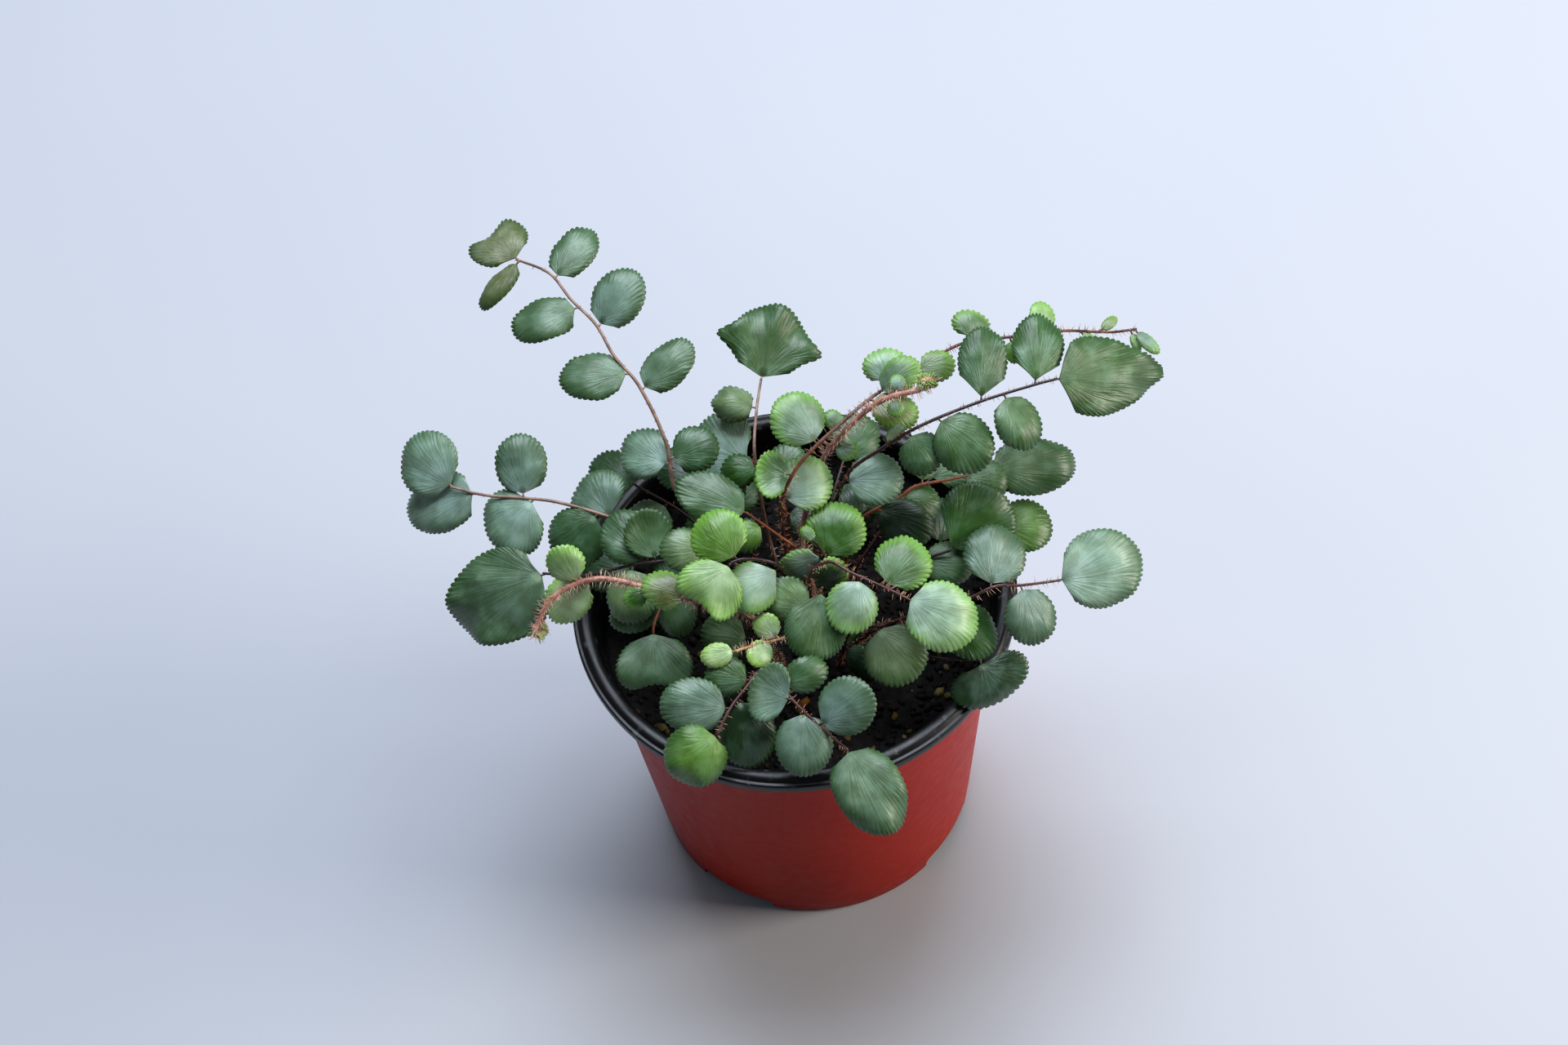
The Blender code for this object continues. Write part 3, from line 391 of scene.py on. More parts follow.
# Stalk finish, bristle finish, bristles to the millimetre and their length. The root has more of its own
USUAL_STALK = ("wiry", "rusty", 0.7, 0.9)
ROOT_BRISTLES = 3.0
ROOT_BRISTLE_LENGTH = 1.3
ROOT_KNOTS = slice(8, 16)
BRISTLE_FOOT = 0.11
BRISTLE_TIP = 0.03
STALKS = {
    "frond_left_crozier": ("pink", "pale", 7.0, 2.3), "frond_right_crozier": ("pink", "pale", 7.0, 2.4),
    "frond_front_young": ("tan", "pale", 6.0, 1.7), "frond_front_low": ("plum", "tawny", 3.4, 1.6),
    "frond_front_droop": ("plum", "tawny", 2.4, 1.3), "frond_right_near": ("plum", "tawny", 2.6, 1.8),
    "frond_right_long": ("plum", "tawny", 2.4, 1.9), "frond_right_upper": ("wiry", "rusty", 2.0, 1.3),
    "frond_right_thin": ("umber", "tawny", 2.8, 1.8), "frond_back_left_tall": ("dusky", "tawny", 0.6, 0.9),
    "frond_left_upper": ("dusky", "rusty", 0.5, 0.6), "frond_back_single": ("dusky", "pale", 0.3, 0.5),
    "frond_front_left": ("rust", "rusty", 0.4, 0.6), "frond_right_back": ("rust", "rusty", 0.7, 0.8),
    "frond_back_middle": ("rust", "rusty", 0.6, 0.8), "frond_centre_high": ("rust", "rusty", 0.8, 0.9),
    "frond_right_low": ("plum", "rusty", 1.2, 1.0), "frond_centre_fan": ("umber", "rusty", 1.2, 1.0),
}

Leaflet = namedtuple("Leaflet", "place swing length width nod roll phase tone form", defaults=["round"])

# Finishes of the blades: vein, painted sheen, outer part and rim colours, strength of the veins, gloss,
# roughness
LEAF_FINISHES = {
    # leathery and waxy: broad soft lights over dull green
    "mature": ("old fern blade, waxy leather", "#7f9a6c", "#a2bab4", "#dfe8d6", "#2c4f22", 0.08, 0.0, 0.36),
    # thinner and fresher: a little shine along each fold
    "young": ("young fern blade, satin", "#9cbb6c", "#c2dccb", "#f4fad2", "#74ab38", 0.12, 0.1, 0.35),
    # tender and wet-looking: small bright lights
    "lime": ("new fern blade, glossy", "#aecb70", "#d0e6c4", "#f4fad8", "#94c244", 0.1, 0.35, 0.32),
    # dull and paler, with plain veins
    "under": ("underside of a fern blade, matt", "#9aa878", "#a5ab9c", "#f4f6ee", "#8a9a60", 0.2, 0.0, 0.6),
}

# Finishes of the stalks and of their hairs: two colours that change along them, and roughness
STALK_FINISHES = {
    "wiry": ("fern stalk, near black rind", "#150b0a", "#33191a", 0.38),
    "plum": ("fern stalk, plum brown rind", "#2c1413", "#55302b", 0.42),
    "umber": ("fern stalk, umber rind", "#3b1f14", "#70452e", 0.42),
    "rust": ("fern stalk, rust brown rind", "#5a2a14", "#8a4826", 0.42),
    "dusky": ("fern stalk, dusky pink rind", "#6b5042", "#9a7b67", 0.45),
    "tan": ("fern stalk, tan felt", "#8a6240", "#b08c5c", 0.6),
    "pink": ("crozier stalk, pink and downy", "#9a6052", "#c99782", 0.5),
    "pale": ("stalk hairs, pale pink down", "#d09a84", "#efd0bc", 0.6),
    "tawny": ("stalk scales, dry and tawny", "#b27a58", "#dcb394", 0.6),
    "rusty": ("stalk scales, dry and rusty", "#a05c36", "#ca8a5f", 0.6),
}

# Pale bits that show in the compost: (x, y), size and colour
BITS = [
    ((-1.2, -28.8), 3.4, "#7a4a16"), ((-2.4, -30.6), 2.2, "#5c4a20"), ((22.8, -35.9), 2.2, "#6a5420"),
    ((35.3, -29.8), 3.0, "#75693a"), ((37.4, -31.2), 2.4, "#5f5a34"), ((26.0, -41.0), 2.0, "#59431f"),
    ((24.4, -42.5), 1.6, "#6e6140"), ((-39.4, -30.2), 3.2, "#5c5430"), ((-38.0, -31.6), 2.2, "#4c4326"),
    ((-45.4, -24.6), 2.0, "#3a2618"),
]


# ---- materials

# A mix node's sockets for two colours, and what it is told to mix them
FACTOR, UNDER, OVER = 0, 6, 7
COLOURS = {"output": 2, "data_type": "RGBA"}


def linear(colour):
    """An sRGB hex colour as linear RGBA."""
    parts = [int(colour[k : k + 2], 16) / 255 for k in (1, 3, 5)]
    return (*[c / 12.92 if c <= 0.04045 else ((c + 0.055) / 1.055) ** 2.4 for c in parts], 1.0)


def new_finish(name):
    """A new material, with its node tree and its shader."""
    made = bpy.data.materials.new(name)
    made.use_nodes = True
    return made, made.node_tree, made.node_tree.nodes["Principled BSDF"]


def feed(tree, node, inputs):
    """Gives a node its inputs: each a value, a hex colour or the socket that feeds it."""
    for socket, value in inputs.items():
        if isinstance(value, bpy.types.NodeSocket):
            tree.links.new(value, node.inputs[socket])
        else:
            node.inputs[socket].default_value = linear(value) if isinstance(value, str) else value


def add(tree, kind, inputs=None, output=0, stops=(), **settings):
    """Adds a node with its settings and links, and gives the output that it is used for. The two stops of
    a ramp are pairs of a place and a grey level."""
    made = tree.nodes.new("ShaderNode" + kind)
    for key, value in settings.items():
        setattr(made, key, value)
    feed(tree, made, inputs or {})
    for k, (place, level) in enumerate(stops):
        element = made.color_ramp.elements[k]
        element.position = place
        element.color = (level, level, level, 1.0)
    return made.outputs[output]


def cover(tree, under, over, mask, stops):
    """One colour laid over another as far as a mask says, read through the stops of a ramp."""
    share = add(tree, "ValToRGB", {"Fac": mask}, stops=stops)
    return add(tree, "Mix", {FACTOR: share, UNDER: under, OVER: over}, **COLOURS)


def leaf_finish(name, vein, bloom, outer, edge, veining, gloss, roughness):
    """Living fern blade. Its UV runs (scallop number, reach from the petiole to the margin), so veins fan
    out from the petiole and fork as they do on the leaf, and short creases run in from the margin."""
    made, tree, shader = new_finish(name)
    tone = add(tree, "Attribute", attribute_name="tone")
    fan = add(tree, "UVMap", uv_map="fan")
    reach = add(tree, "SeparateXYZ", {"Vector": fan}, "Y")
    grain = add(tree, "TexCoord", output="Object")
    # wrinkles about 2 mm wide at the margin, wandering along the blade
    wide = add(tree, "Mapping", {"Vector": fan, "Scale": (0.8, 2.2, 1.0)})
    wrinkle = add(tree, "TexNoise", {"Vector": wide, "Scale": 1.0, "Detail": 2.0, "Roughness": 0.5,
                  "Distortion": 0.5})
    # forked veins: a quarter of a scallop of 1.8 mm apart
    thin = add(tree, "Mapping", {"Vector": fan, "Scale": (3.5, 4.0, 1.0)})
    streak = add(tree, "TexNoise", {"Vector": thin, "Scale": 1.0, "Detail": 3.0, "Roughness": 0.6,
                 "Distortion": 0.3})
    # one crease a scallop, at its notches: the bands repeat every 2 pi / 20
    pleat = add(tree, "TexWave", {"Vector": fan, "Scale": math.tau / 20, "Distortion": 1.2, "Detail": 1.0},
                "Fac", wave_type="BANDS", bands_direction="X", wave_profile="SIN")
    brink = add(tree, "ValToRGB", {"Fac": reach}, stops=[(0.62, 0.0), (0.95, 1.0)])
    # the creases are relief in the bump and painted shade in the colour
    crease = add(tree, "Math", {0: pleat, 1: brink}, operation="MULTIPLY")
    # soft cloudy patches about 5 mm across, for the mottling, the painted sheen and the roughness, and a
    # surface grain of 0.4 mm
    cloud = add(tree, "TexNoise", {"Vector": grain, "Scale": 200.0, "Detail": 2.0})
    pore = add(tree, "TexNoise", {"Vector": grain, "Scale": 2600.0, "Detail": 1.0})
    # the outer part's own colour, in cloudy light and dark
    far = add(tree, "Mix", {FACTOR: 1.0, UNDER: tone, OVER: outer}, blend_type="MULTIPLY", **COLOURS)
    colour = cover(tree, tone, far, reach, [(0.25, 0.0), (0.85, 1.0)])
    dark = add(tree, "Mix", {FACTOR: 1.0, UNDER: colour, OVER: "#b4bcac"}, blend_type="MULTIPLY", **COLOURS)
    colour = cover(tree, dark, colour, cloud, [(0.35, 0.3), (0.65, 1.0)])
    # veins, painted shade in the creases, a painted bluish sheen in cloudy patches, rim, and the pale throat
    # by the petiole
    for over, mask, stops in (
        (vein, streak, [(0.45, 0.0), (0.75, veining)]), (dark, crease, [(0.35, 0.0), (0.9, 0.8)]),
        (bloom, cloud, [(0.45, 0.0), (0.7, 0.12)]), (edge, reach, [(0.68, 0.0), (0.97, 0.6)]),
        (vein, reach, [(0.0, 0.45), (0.12, 0.0)]),
    ):
        colour = cover(tree, colour, over, mask, stops)
    relief = wrinkle
    for pattern, height in ((streak, 0.2), (pore, 0.08), (crease, -0.45)):
        relief = add(tree, "Math", {0: pattern, 1: height, 2: relief}, operation="MULTIPLY_ADD")
    feed(tree, shader, {
        "IOR": 1.45, "Specular IOR Level": 0.6, "Coat Weight": gloss, "Coat Roughness": 0.3,
        "Subsurface Weight": 0.05, "Subsurface Scale": 0.001, "Base Color": colour,
        "Roughness": add(tree, "ValToRGB", {"Fac": cloud}, stops=[(0.3, roughness + 0.08), (0.7, roughness)]),
        "Normal": add(tree, "Bump", {"Height": relief, "Strength": 0.55, "Distance": 0.0005}),
    })
    return made


def stalk_finish(name, low, high, roughness):
    """Fern stalk: a hard glossy rind, or dry dull hairs, whose colour changes every few millimetres."""
    made, tree, shader = new_finish(name)
    grain = add(tree, "TexCoord", output="Object")
    patch = add(tree, "TexNoise", {"Vector": grain, "Scale": 350.0, "Detail": 3.0})
    speck = add(tree, "TexNoise", {"Vector": grain, "Scale": 3000.0, "Detail": 1.0})
    feed(tree, shader, {
        "IOR": 1.5, "Specular IOR Level": 0.5, "Roughness": roughness,
        "Base Color": cover(tree, low, high, patch, [(0.35, 0.0), (0.65, 1.0)]),
        "Normal": add(tree, "Bump", {"Height": speck, "Strength": 0.3, "Distance": 0.0001}),
    })
    return made


def plastic_finish(name, low, high, roughness, shine, speck_colour, speck_size):
    """Thin thermoformed polystyrene: a satin skin with shallow waviness, fine dust and rubbed specks."""
    made, tree, shader = new_finish(name)
    grain = add(tree, "TexCoord", output="Object")
    # the sheet's colour drifts over 30 mm, its dust over 3 mm
    drift = add(tree, "TexNoise", {"Vector": grain, "Scale": 33.0, "Detail": 3.0})
    dust = add(tree, "TexNoise", {"Vector": grain, "Scale": 330.0, "Detail": 4.0})
    peel = add(tree, "TexNoise", {"Vector": grain, "Scale": 1200.0, "Detail": 1.0})
    cell = add(tree, "TexVoronoi", {"Vector": grain, "Scale": 170.0})
    colour = cover(tree, low, high, drift, [(0.3, 0.0), (0.7, 1.0)])
    colour = cover(tree, colour, speck_colour, dust, [(0.62, 0.0), (0.85, 0.22)])
    colour = cover(tree, colour, speck_colour, cell, [(0.0, 0.9), (speck_size, 0.0)])
    feed(tree, shader, {
        "IOR": 1.53, "Specular IOR Level": shine, "Base Color": colour,
        "Roughness": add(tree, "ValToRGB", {"Fac": dust}, stops=[(0.3, roughness), (0.8, roughness + 0.14)]),
        "Normal": add(tree, "Bump", {"Height": peel, "Strength": 0.15, "Distance": 0.0001}),
    })
    return made


def soil_finish():
    """Damp peat compost: near black, matt, with a grain of half a millimetre."""
    made, tree, shader = new_finish("damp peat compost")
    grain = add(tree, "TexCoord", output="Object")
    tone = add(tree, "Attribute", attribute_name="tone")
    lump = add(tree, "TexNoise", {"Vector": grain, "Scale": 450.0, "Detail": 5.0})
    grit = add(tree, "TexNoise", {"Vector": grain, "Scale": 2000.0, "Detail": 2.0})
    feed(tree, shader, {
        "IOR": 1.4, "Specular IOR Level": 0.25,
        "Base Color": cover(tree, tone, "#050403", lump, [(0.35, 0.45), (0.65, 0.0)]),
        "Roughness": add(tree, "ValToRGB", {"Fac": lump}, stops=[(0.3, 0.95), (0.7, 0.7)]),
        "Normal": add(tree, "Bump", {"Height": grit, "Strength": 0.7, "Distance": 0.0004}),
    })
    return made


def floor_finish():
    """Matt painted studio board: an even pale grey with faint broad clouds."""
    made, tree, shader = new_finish("matt studio board")
    grain = add(tree, "TexCoord", output="Object")
    cloud = add(tree, "TexNoise", {"Vector": grain, "Scale": 3.0, "Detail": 2.0})
    board = cover(tree, "#aeb2b9", "#b4b7bd", cloud, [(0.3, 0.0), (0.7, 1.0)])
    feed(tree, shader, {"IOR": 1.45, "Roughness": 0.9, "Base Color": board})
    return made


# ---- shared mesh steps


def add_piece(name, bm, materials):
    """A finished piece from a bmesh in millimetres, with its materials, shaded smooth."""
    mesh = bpy.data.meshes.new(name)
    bmesh.ops.scale(bm, vec=(MM, MM, MM), verts=bm.verts)
    for face in bm.faces:
        face.smooth = True
    bm.to_mesh(mesh)
    bm.free()
    for finish in materials:
        mesh.materials.append(finish)
    made = bpy.data.objects.new(name, mesh)
    bpy.context.scene.collection.objects.link(made)
    return made


def join(target, part):
    """Adds one bmesh to another, with its layers, and frees it."""
    mesh = bpy.data.meshes.new("part")
    part.to_mesh(mesh)
    part.free()
    target.from_mesh(mesh)
    bpy.data.meshes.remove(mesh)


def with_layers():
    """An empty bmesh with the layers that every dressed piece carries."""
    bm = bmesh.new()
    bm.verts.layers.float_color.new("tone")
    bm.loops.layers.uv.new("fan")
    return bm


def tint(bm, colour):
    """Gives every point of a bmesh one colour."""
    layer = bm.verts.layers.float_color["tone"]
    for vertex in bm.verts:
        vertex[layer] = colour


def spun(profile, sides):
    """A surface of revolution about Z from a profile, its seam and poles closed."""
    bm = with_layers()
    points = [bm.verts.new((radius, 0.0, height)) for radius, height in profile]
    edges = [bm.edges.new(pair) for pair in zip(points, points[1:])]
    bmesh.ops.spin(bm, geom=points + edges, cent=(0, 0, 0), axis=(0, 0, 1), angle=math.tau, steps=sides,
                   use_merge=True)
    bmesh.ops.remove_doubles(bm, verts=bm.verts, dist=0.001)
    bmesh.ops.recalc_face_normals(bm, faces=bm.faces)
    return bm


def axes_at(place, x, y, z):
    """The matrix that puts things at a place, along three axes of its own."""
    placed = Matrix((x, y, z)).transposed().to_4x4()
    placed.translation = place
    return placed


# ---- pot


def outer_radius(height):
    """Outside of the tapering pot wall."""
    return BASE_RADIUS + (WALL_TOP_RADIUS - BASE_RADIUS) * height / WALL_TOP


def pot_profile():
    """The wall and its lip, from the axis under the floor round to the axis inside."""
    underside = [(0.0, 0.9), (30.0, 0.9), (34.0, 0.0), (BASE_RADIUS - 1.8, 0.0), (BASE_RADIUS - 0.6, 0.35),
                 (BASE_RADIUS, 1.4)]
    wall = [(outer_radius(z), z) for z in (8, 20, 35, 50, 65, 80, 90)]
    shoulder = [(WALL_TOP_RADIUS, WALL_TOP), (54.6, 98.4), (55.4, 99.5), (58.3, 99.7), (58.7, 99.4)]
    skirt = [(59.05, SKIRT_FOOT + 0.2), (59.3, SKIRT_FOOT), (59.7, SKIRT_FOOT), (59.9, SKIRT_FOOT + 0.2)]
    lip = [(RIM_RADIUS, 99.4), (RIM_RADIUS, 100.5), (59.9, 100.85), (59.7, 101.0), (59.3, 101.05),
           (58.9, 101.0), (58.65, 101.1), (58.45, 101.4), (58.1, 101.7), (57.5, 101.93), (56.8, 102.0),
           (56.1, 101.93), (55.5, 101.7), (55.0, 101.3), (54.65, 100.7)]
    inside = [(54.2, 98.6), (WALL_TOP_RADIUS - WALL, WALL_TOP - 0.4), (outer_radius(80) - WALL, 80),
              (outer_radius(50) - WALL, 50), (BASE_RADIUS - WALL + 0.2, FLOOR + 1.2),
              (BASE_RADIUS - 2.2, FLOOR + 0.9), (0.0, FLOOR + 0.9)]
    return underside + wall + shoulder + skirt + lip + inside


def drain_cutter(angle, finishes):
    """The rounded block that cuts one drain notch."""
    bm = bmesh.new()
    bmesh.ops.create_cube(bm, size=1.0)
    bmesh.ops.scale(bm, vec=(2 * DRAIN_DEPTH, DRAIN_WIDTH, 2 * DRAIN_HEIGHT), verts=bm.verts)
    edges = [e for e in bm.edges if abs(e.verts[0].co.x - e.verts[1].co.x) > DRAIN_DEPTH]
    bmesh.ops.bevel(bm, geom=edges, offset=DRAIN_ROUNDING, offset_type="OFFSET", affect="EDGES", segments=4,
                    profile=0.5, material=-1)
    bmesh.ops.translate(bm, vec=(BASE_RADIUS, 0, 0), verts=bm.verts)
    bmesh.ops.rotate(bm, matrix=Matrix.Rotation(math.radians(angle), 3, "Z"), verts=bm.verts)
    return add_piece("drain_cutter", bm, finishes)


def make_pot():
    """The nursery pot: red outside, black lining and lip, with drain notches at the foot."""
    bm = spun(pot_profile(), POT_SIDES)
    for face in bm.faces:
        centre = face.calc_center_median()
        radius = math.hypot(centre.x, centre.y)
        inner_wall = radius < outer_radius(centre.z) - 0.15 and centre.z > FLOOR + 0.5
        over_lip = centre.z > LEDGE or (radius > RIM_RADIUS - 0.2 and centre.z > SKIRT_FOOT + 0.3)
        face.material_index = 1 if inner_wall or over_lip else 0
    finishes = [
        plastic_finish("polystyrene, terracotta red skin", "#921505", "#9e1d07", 0.42, 0.12, "#a8442e", 0.03),
        plastic_finish("polystyrene, black lining", "#050607", "#090a0c", 0.32, 0.3, "#c4c6c8", 0.04),
    ]
    pot = add_piece("nursery_pot", bm, finishes)
    cutters = bpy.data.collections.new("drain cutters")
    bpy.context.scene.collection.children.link(cutters)
    for angle in DRAIN_ANGLES:
        cutter = drain_cutter(angle, finishes)
        bpy.context.scene.collection.objects.unlink(cutter)
        cutters.objects.link(cutter)
    cut = pot.modifiers.new("drains", "BOOLEAN")
    cut.operation = "DIFFERENCE"
    cut.operand_type = "COLLECTION"
    cut.collection = cutters
    cut.solver = "EXACT"
    bpy.context.view_layer.update()
    mesh = bpy.data.meshes.new_from_object(pot.evaluated_get(bpy.context.evaluated_depsgraph_get()))
    pot.modifiers.clear()
    pot.data = mesh
    for cutter in list(cutters.objects):
        bpy.data.objects.remove(cutter)
    bpy.data.collections.remove(cutters)
    mesh.set_sharp_from_angle(angle=SHARP_ANGLE)
    return pot


# ---- soil


def soil_height(x, y):
    """Rolling top of the compost, low against the wall."""
    roll = noise.noise(Vector((x, y, 0)) * 0.055) + 0.5 * noise.noise(Vector((x, y, 9)) * 0.17)
    return SOIL_TOP - 0.4 + SOIL_ROLL * roll + 0.35 * noise.noise(Vector((x, y, 3)) * 0.7)


def crumb(bm, x, y, size, colour, draw):
    """A rough lump of compost, sunk a little into the top."""
    part = with_layers()
    bmesh.ops.create_icosphere(part, subdivisions=1, radius=size / 2)
    for vertex in part.verts:
        vertex.co *= draw.uniform(0.7, 1.3)
    squash = (draw.uniform(0.8, 1.5), draw.uniform(0.7, 1.2), draw.uniform(0.45, 0.8))
    bmesh.ops.scale(part, vec=squash, verts=part.verts)
    bmesh.ops.rotate(part, matrix=Matrix.Rotation(draw.uniform(0, math.tau), 3, "Z"), verts=part.verts)
    bmesh.ops.translate(part, vec=(x, y, soil_height(x, y) + 0.12 * size), verts=part.verts)
    tint(part, colour)
    join(bm, part)


def add_fibre(bm, inner, draw):
    """A bent root fibre on the top of the compost, cut off at the wall."""
    reach = (inner - 5) * math.sqrt(draw.random())
    turn = draw.uniform(0, math.tau)
    spot = Vector((reach * math.cos(turn), reach * math.sin(turn), 0))
    heading = draw.uniform(0, math.tau)
    points = []
    for _ in range(FIBRE_POINTS):
        spot = spot + Vector((math.cos(heading), math.sin(heading), 0)) * draw.uniform(0.6, 1.2)
        if spot.length < inner - 1:
            lift = 0.35 + 0.5 * draw.random()
            points.append(Vector((spot.x, spot.y, soil_height(spot.x, spot.y) + lift)))
        heading += draw.uniform(-0.7, 0.7)
    if len(points) > 2:
        fibre = tube(points, [FIBRE_RADIUS] * len(points), 0)
        tint(fibre, linear(draw.choice(FIBRE_SHADES)))
        join(bm, fibre)


def make_soil():
    """The compost: a rolling top that meets the wall, crumbs, pale bits and root fibres."""
    draw = random.Random(SEED)
    inner = outer_radius(SOIL_TOP) - WALL - 0.02
    rings = [(inner * k / SOIL_RINGS, SOIL_TOP) for k in range(SOIL_RINGS + 1)]
    low = [(outer_radius(50) - WALL - 0.3, 50.0), (BASE_RADIUS - WALL - 0.4, 3.6), (BASE_RADIUS - 3.2, 2.4),
           (0.0, 2.4)]
    bm = spun(rings + low, SOIL_SIDES)
    for vertex in bm.verts:
        if vertex.co.z > SOIL_TOP - 1:
            vertex.co.z = soil_height(vertex.co.x, vertex.co.y)
    tint(bm, linear("#0d0a08"))
    parts = with_layers()
    for _ in range(CRUMBS):
        reach = (inner - 1.2) * math.sqrt(draw.uniform(0.05, 1.0))
        turn = draw.uniform(0, math.tau)
        size = draw.choice(CRUMB_SIZES)
        shades = PALE_SHADES if draw.random() < PALE_SHARE else CRUMB_SHADES
        colour = linear(draw.choice(shades))
        crumb(parts, reach * math.cos(turn), reach * math.sin(turn), size, colour, draw)
    for (x, y), size, colour in BITS:
        crumb(parts, x, y, size, linear(colour), draw)
    join(bm, parts)
    for _ in range(FIBRES):
        add_fibre(bm, inner, draw)
    return add_piece("compost", bm, [soil_finish()])


# ---- fronds


def smooth_route(points):
    """Samples of a smooth curve through the route's points, a quarter of a millimetre apart or so."""
    times = [0.0]
    for a, b in zip(points, points[1:]):
        times.append(times[-1] + (b - a).length)
    slopes = []
    for i in range(len(points)):
        before, after = max(i - 1, 0), min(i + 1, len(points) - 1)
        slopes.append((points[after] - points[before]) / (times[after] - times[before]))
    samples = []
    for i in range(len(points) - 1):
        span = times[i + 1] - times[i]
        steps = max(2, round(span * ROUTE_STEPS))
        for k in range(steps):
            t = k / steps
            samples.append(
                points[i] * (2 * t**3 - 3 * t**2 + 1)
                + slopes[i] * span * (t**3 - 2 * t**2 + t)
                + points[i + 1] * (3 * t**2 - 2 * t**3)
                + slopes[i + 1] * span * (t**3 - t**2)
            )
    return samples + [points[-1]]


def midrib_line(route):
    """The midrib as samples from the root, down in the soil, to the tip."""
    root = route[0]
    points = [Vector((*root, SOIL_TOP - HOLE_DEPTH + 0.3)), Vector((*root, SOIL_TOP + 1.5))]
    return smooth_route(points + [Vector(point) for point in route[1:]])


def coil(start, heading, radius, turns):
    """Points of a flat spiral that carries the midrib on from its tip and winds up downwards, or upwards
    where the radius is negative."""
    forward = heading.normalized()
    side = forward.cross(Vector((0, 0, 1))).normalized()
    inward = side.cross(forward).normalized()
    if inward.z > 0:
        inward = -inward
    centre = start + inward * radius
    steps = round(turns * COIL_STEPS)
    points = []
    for k in range(1, steps + 1):
        turn = math.tau * turns * k / steps
        reach = radius * (1 - COIL_SHRINK * k / steps)
        points.append(centre + abs(reach) * math.sin(turn) * forward - reach * math.cos(turn) * inward)
    return points


def tube(points, radii, smoothness=2):
    """A closed round tube through points, with a radius at each."""
    curve = bpy.data.curves.new("tube", "CURVE")
    curve.dimensions = "3D"
    curve.bevel_depth = 1.0
    curve.bevel_resolution = smoothness
    curve.use_fill_caps = True
    spline = curve.splines.new("POLY")
    spline.points.add(len(points) - 1)
    for knot, point, radius in zip(spline.points, points, radii):
        knot.co = (*point, 1.0)
        knot.radius = radius
    guide = bpy.data.objects.new("guide", curve)
    bpy.context.scene.collection.objects.link(guide)
    bpy.context.view_layer.update()
    mesh = bpy.data.meshes.new_from_object(guide)
    bpy.data.objects.remove(guide)
    bm = with_layers()
    bm.from_mesh(mesh)
    bpy.data.meshes.remove(mesh)
    bmesh.ops.remove_doubles(bm, verts=bm.verts, dist=0.0005)
    bmesh.ops.recalc_face_normals(bm, faces=bm.faces)
    return bm


def blade_height(rho, phi, form, phase):
    """How far a point of the blade stands off its plane: a dome, and folds that grow to the margin."""
    away_from_base = (1 - math.cos(phi)) / 2
    fold = form["wave"] * rho**2 * away_from_base * math.cos(form["folds"] * phi + phase)
    return form["dome"] * (1 - rho**2) + fold


def blade_point(rho, phi, length, width, form, phase, scallop):
    """A point of the blade in its own frame: x from the midrib along the blade, y across, z up."""
    half_length, half_width = length / 2, width / 2
    grow = 1 + scallop * rho
    near_base = ((1 + math.cos(phi)) / 2) ** NOTCH_SHARPNESS
    near_tip = ((1 - math.cos(phi)) / 2) ** CLEFT_SHARPNESS
    shift = (form["notch"] * (near_base - 1) - form["cleft"] * near_tip) * length * rho
    point_out = form["lobe"] * abs(math.sin(phi + LOBE_BACK * math.sin(phi))) ** LOBE_SHARPNESS * rho
    x = PETIOLE_LENGTH + half_length * (1 - rho * grow * math.cos(phi)) + shift
    y = half_width * rho * grow * math.sin(phi) * (1 + form["taper"] * math.cos(phi) + point_out)
    return Vector((x, y, blade_height(rho, phi, form, phase)))


def reach_of(row):
    """How far out from the petiole, 0 to 1, a grid's row at -1 to 1 comes: rows crowd at the margin."""
    return 1 - ((1 - row) / 2) ** ROW_CROWDING


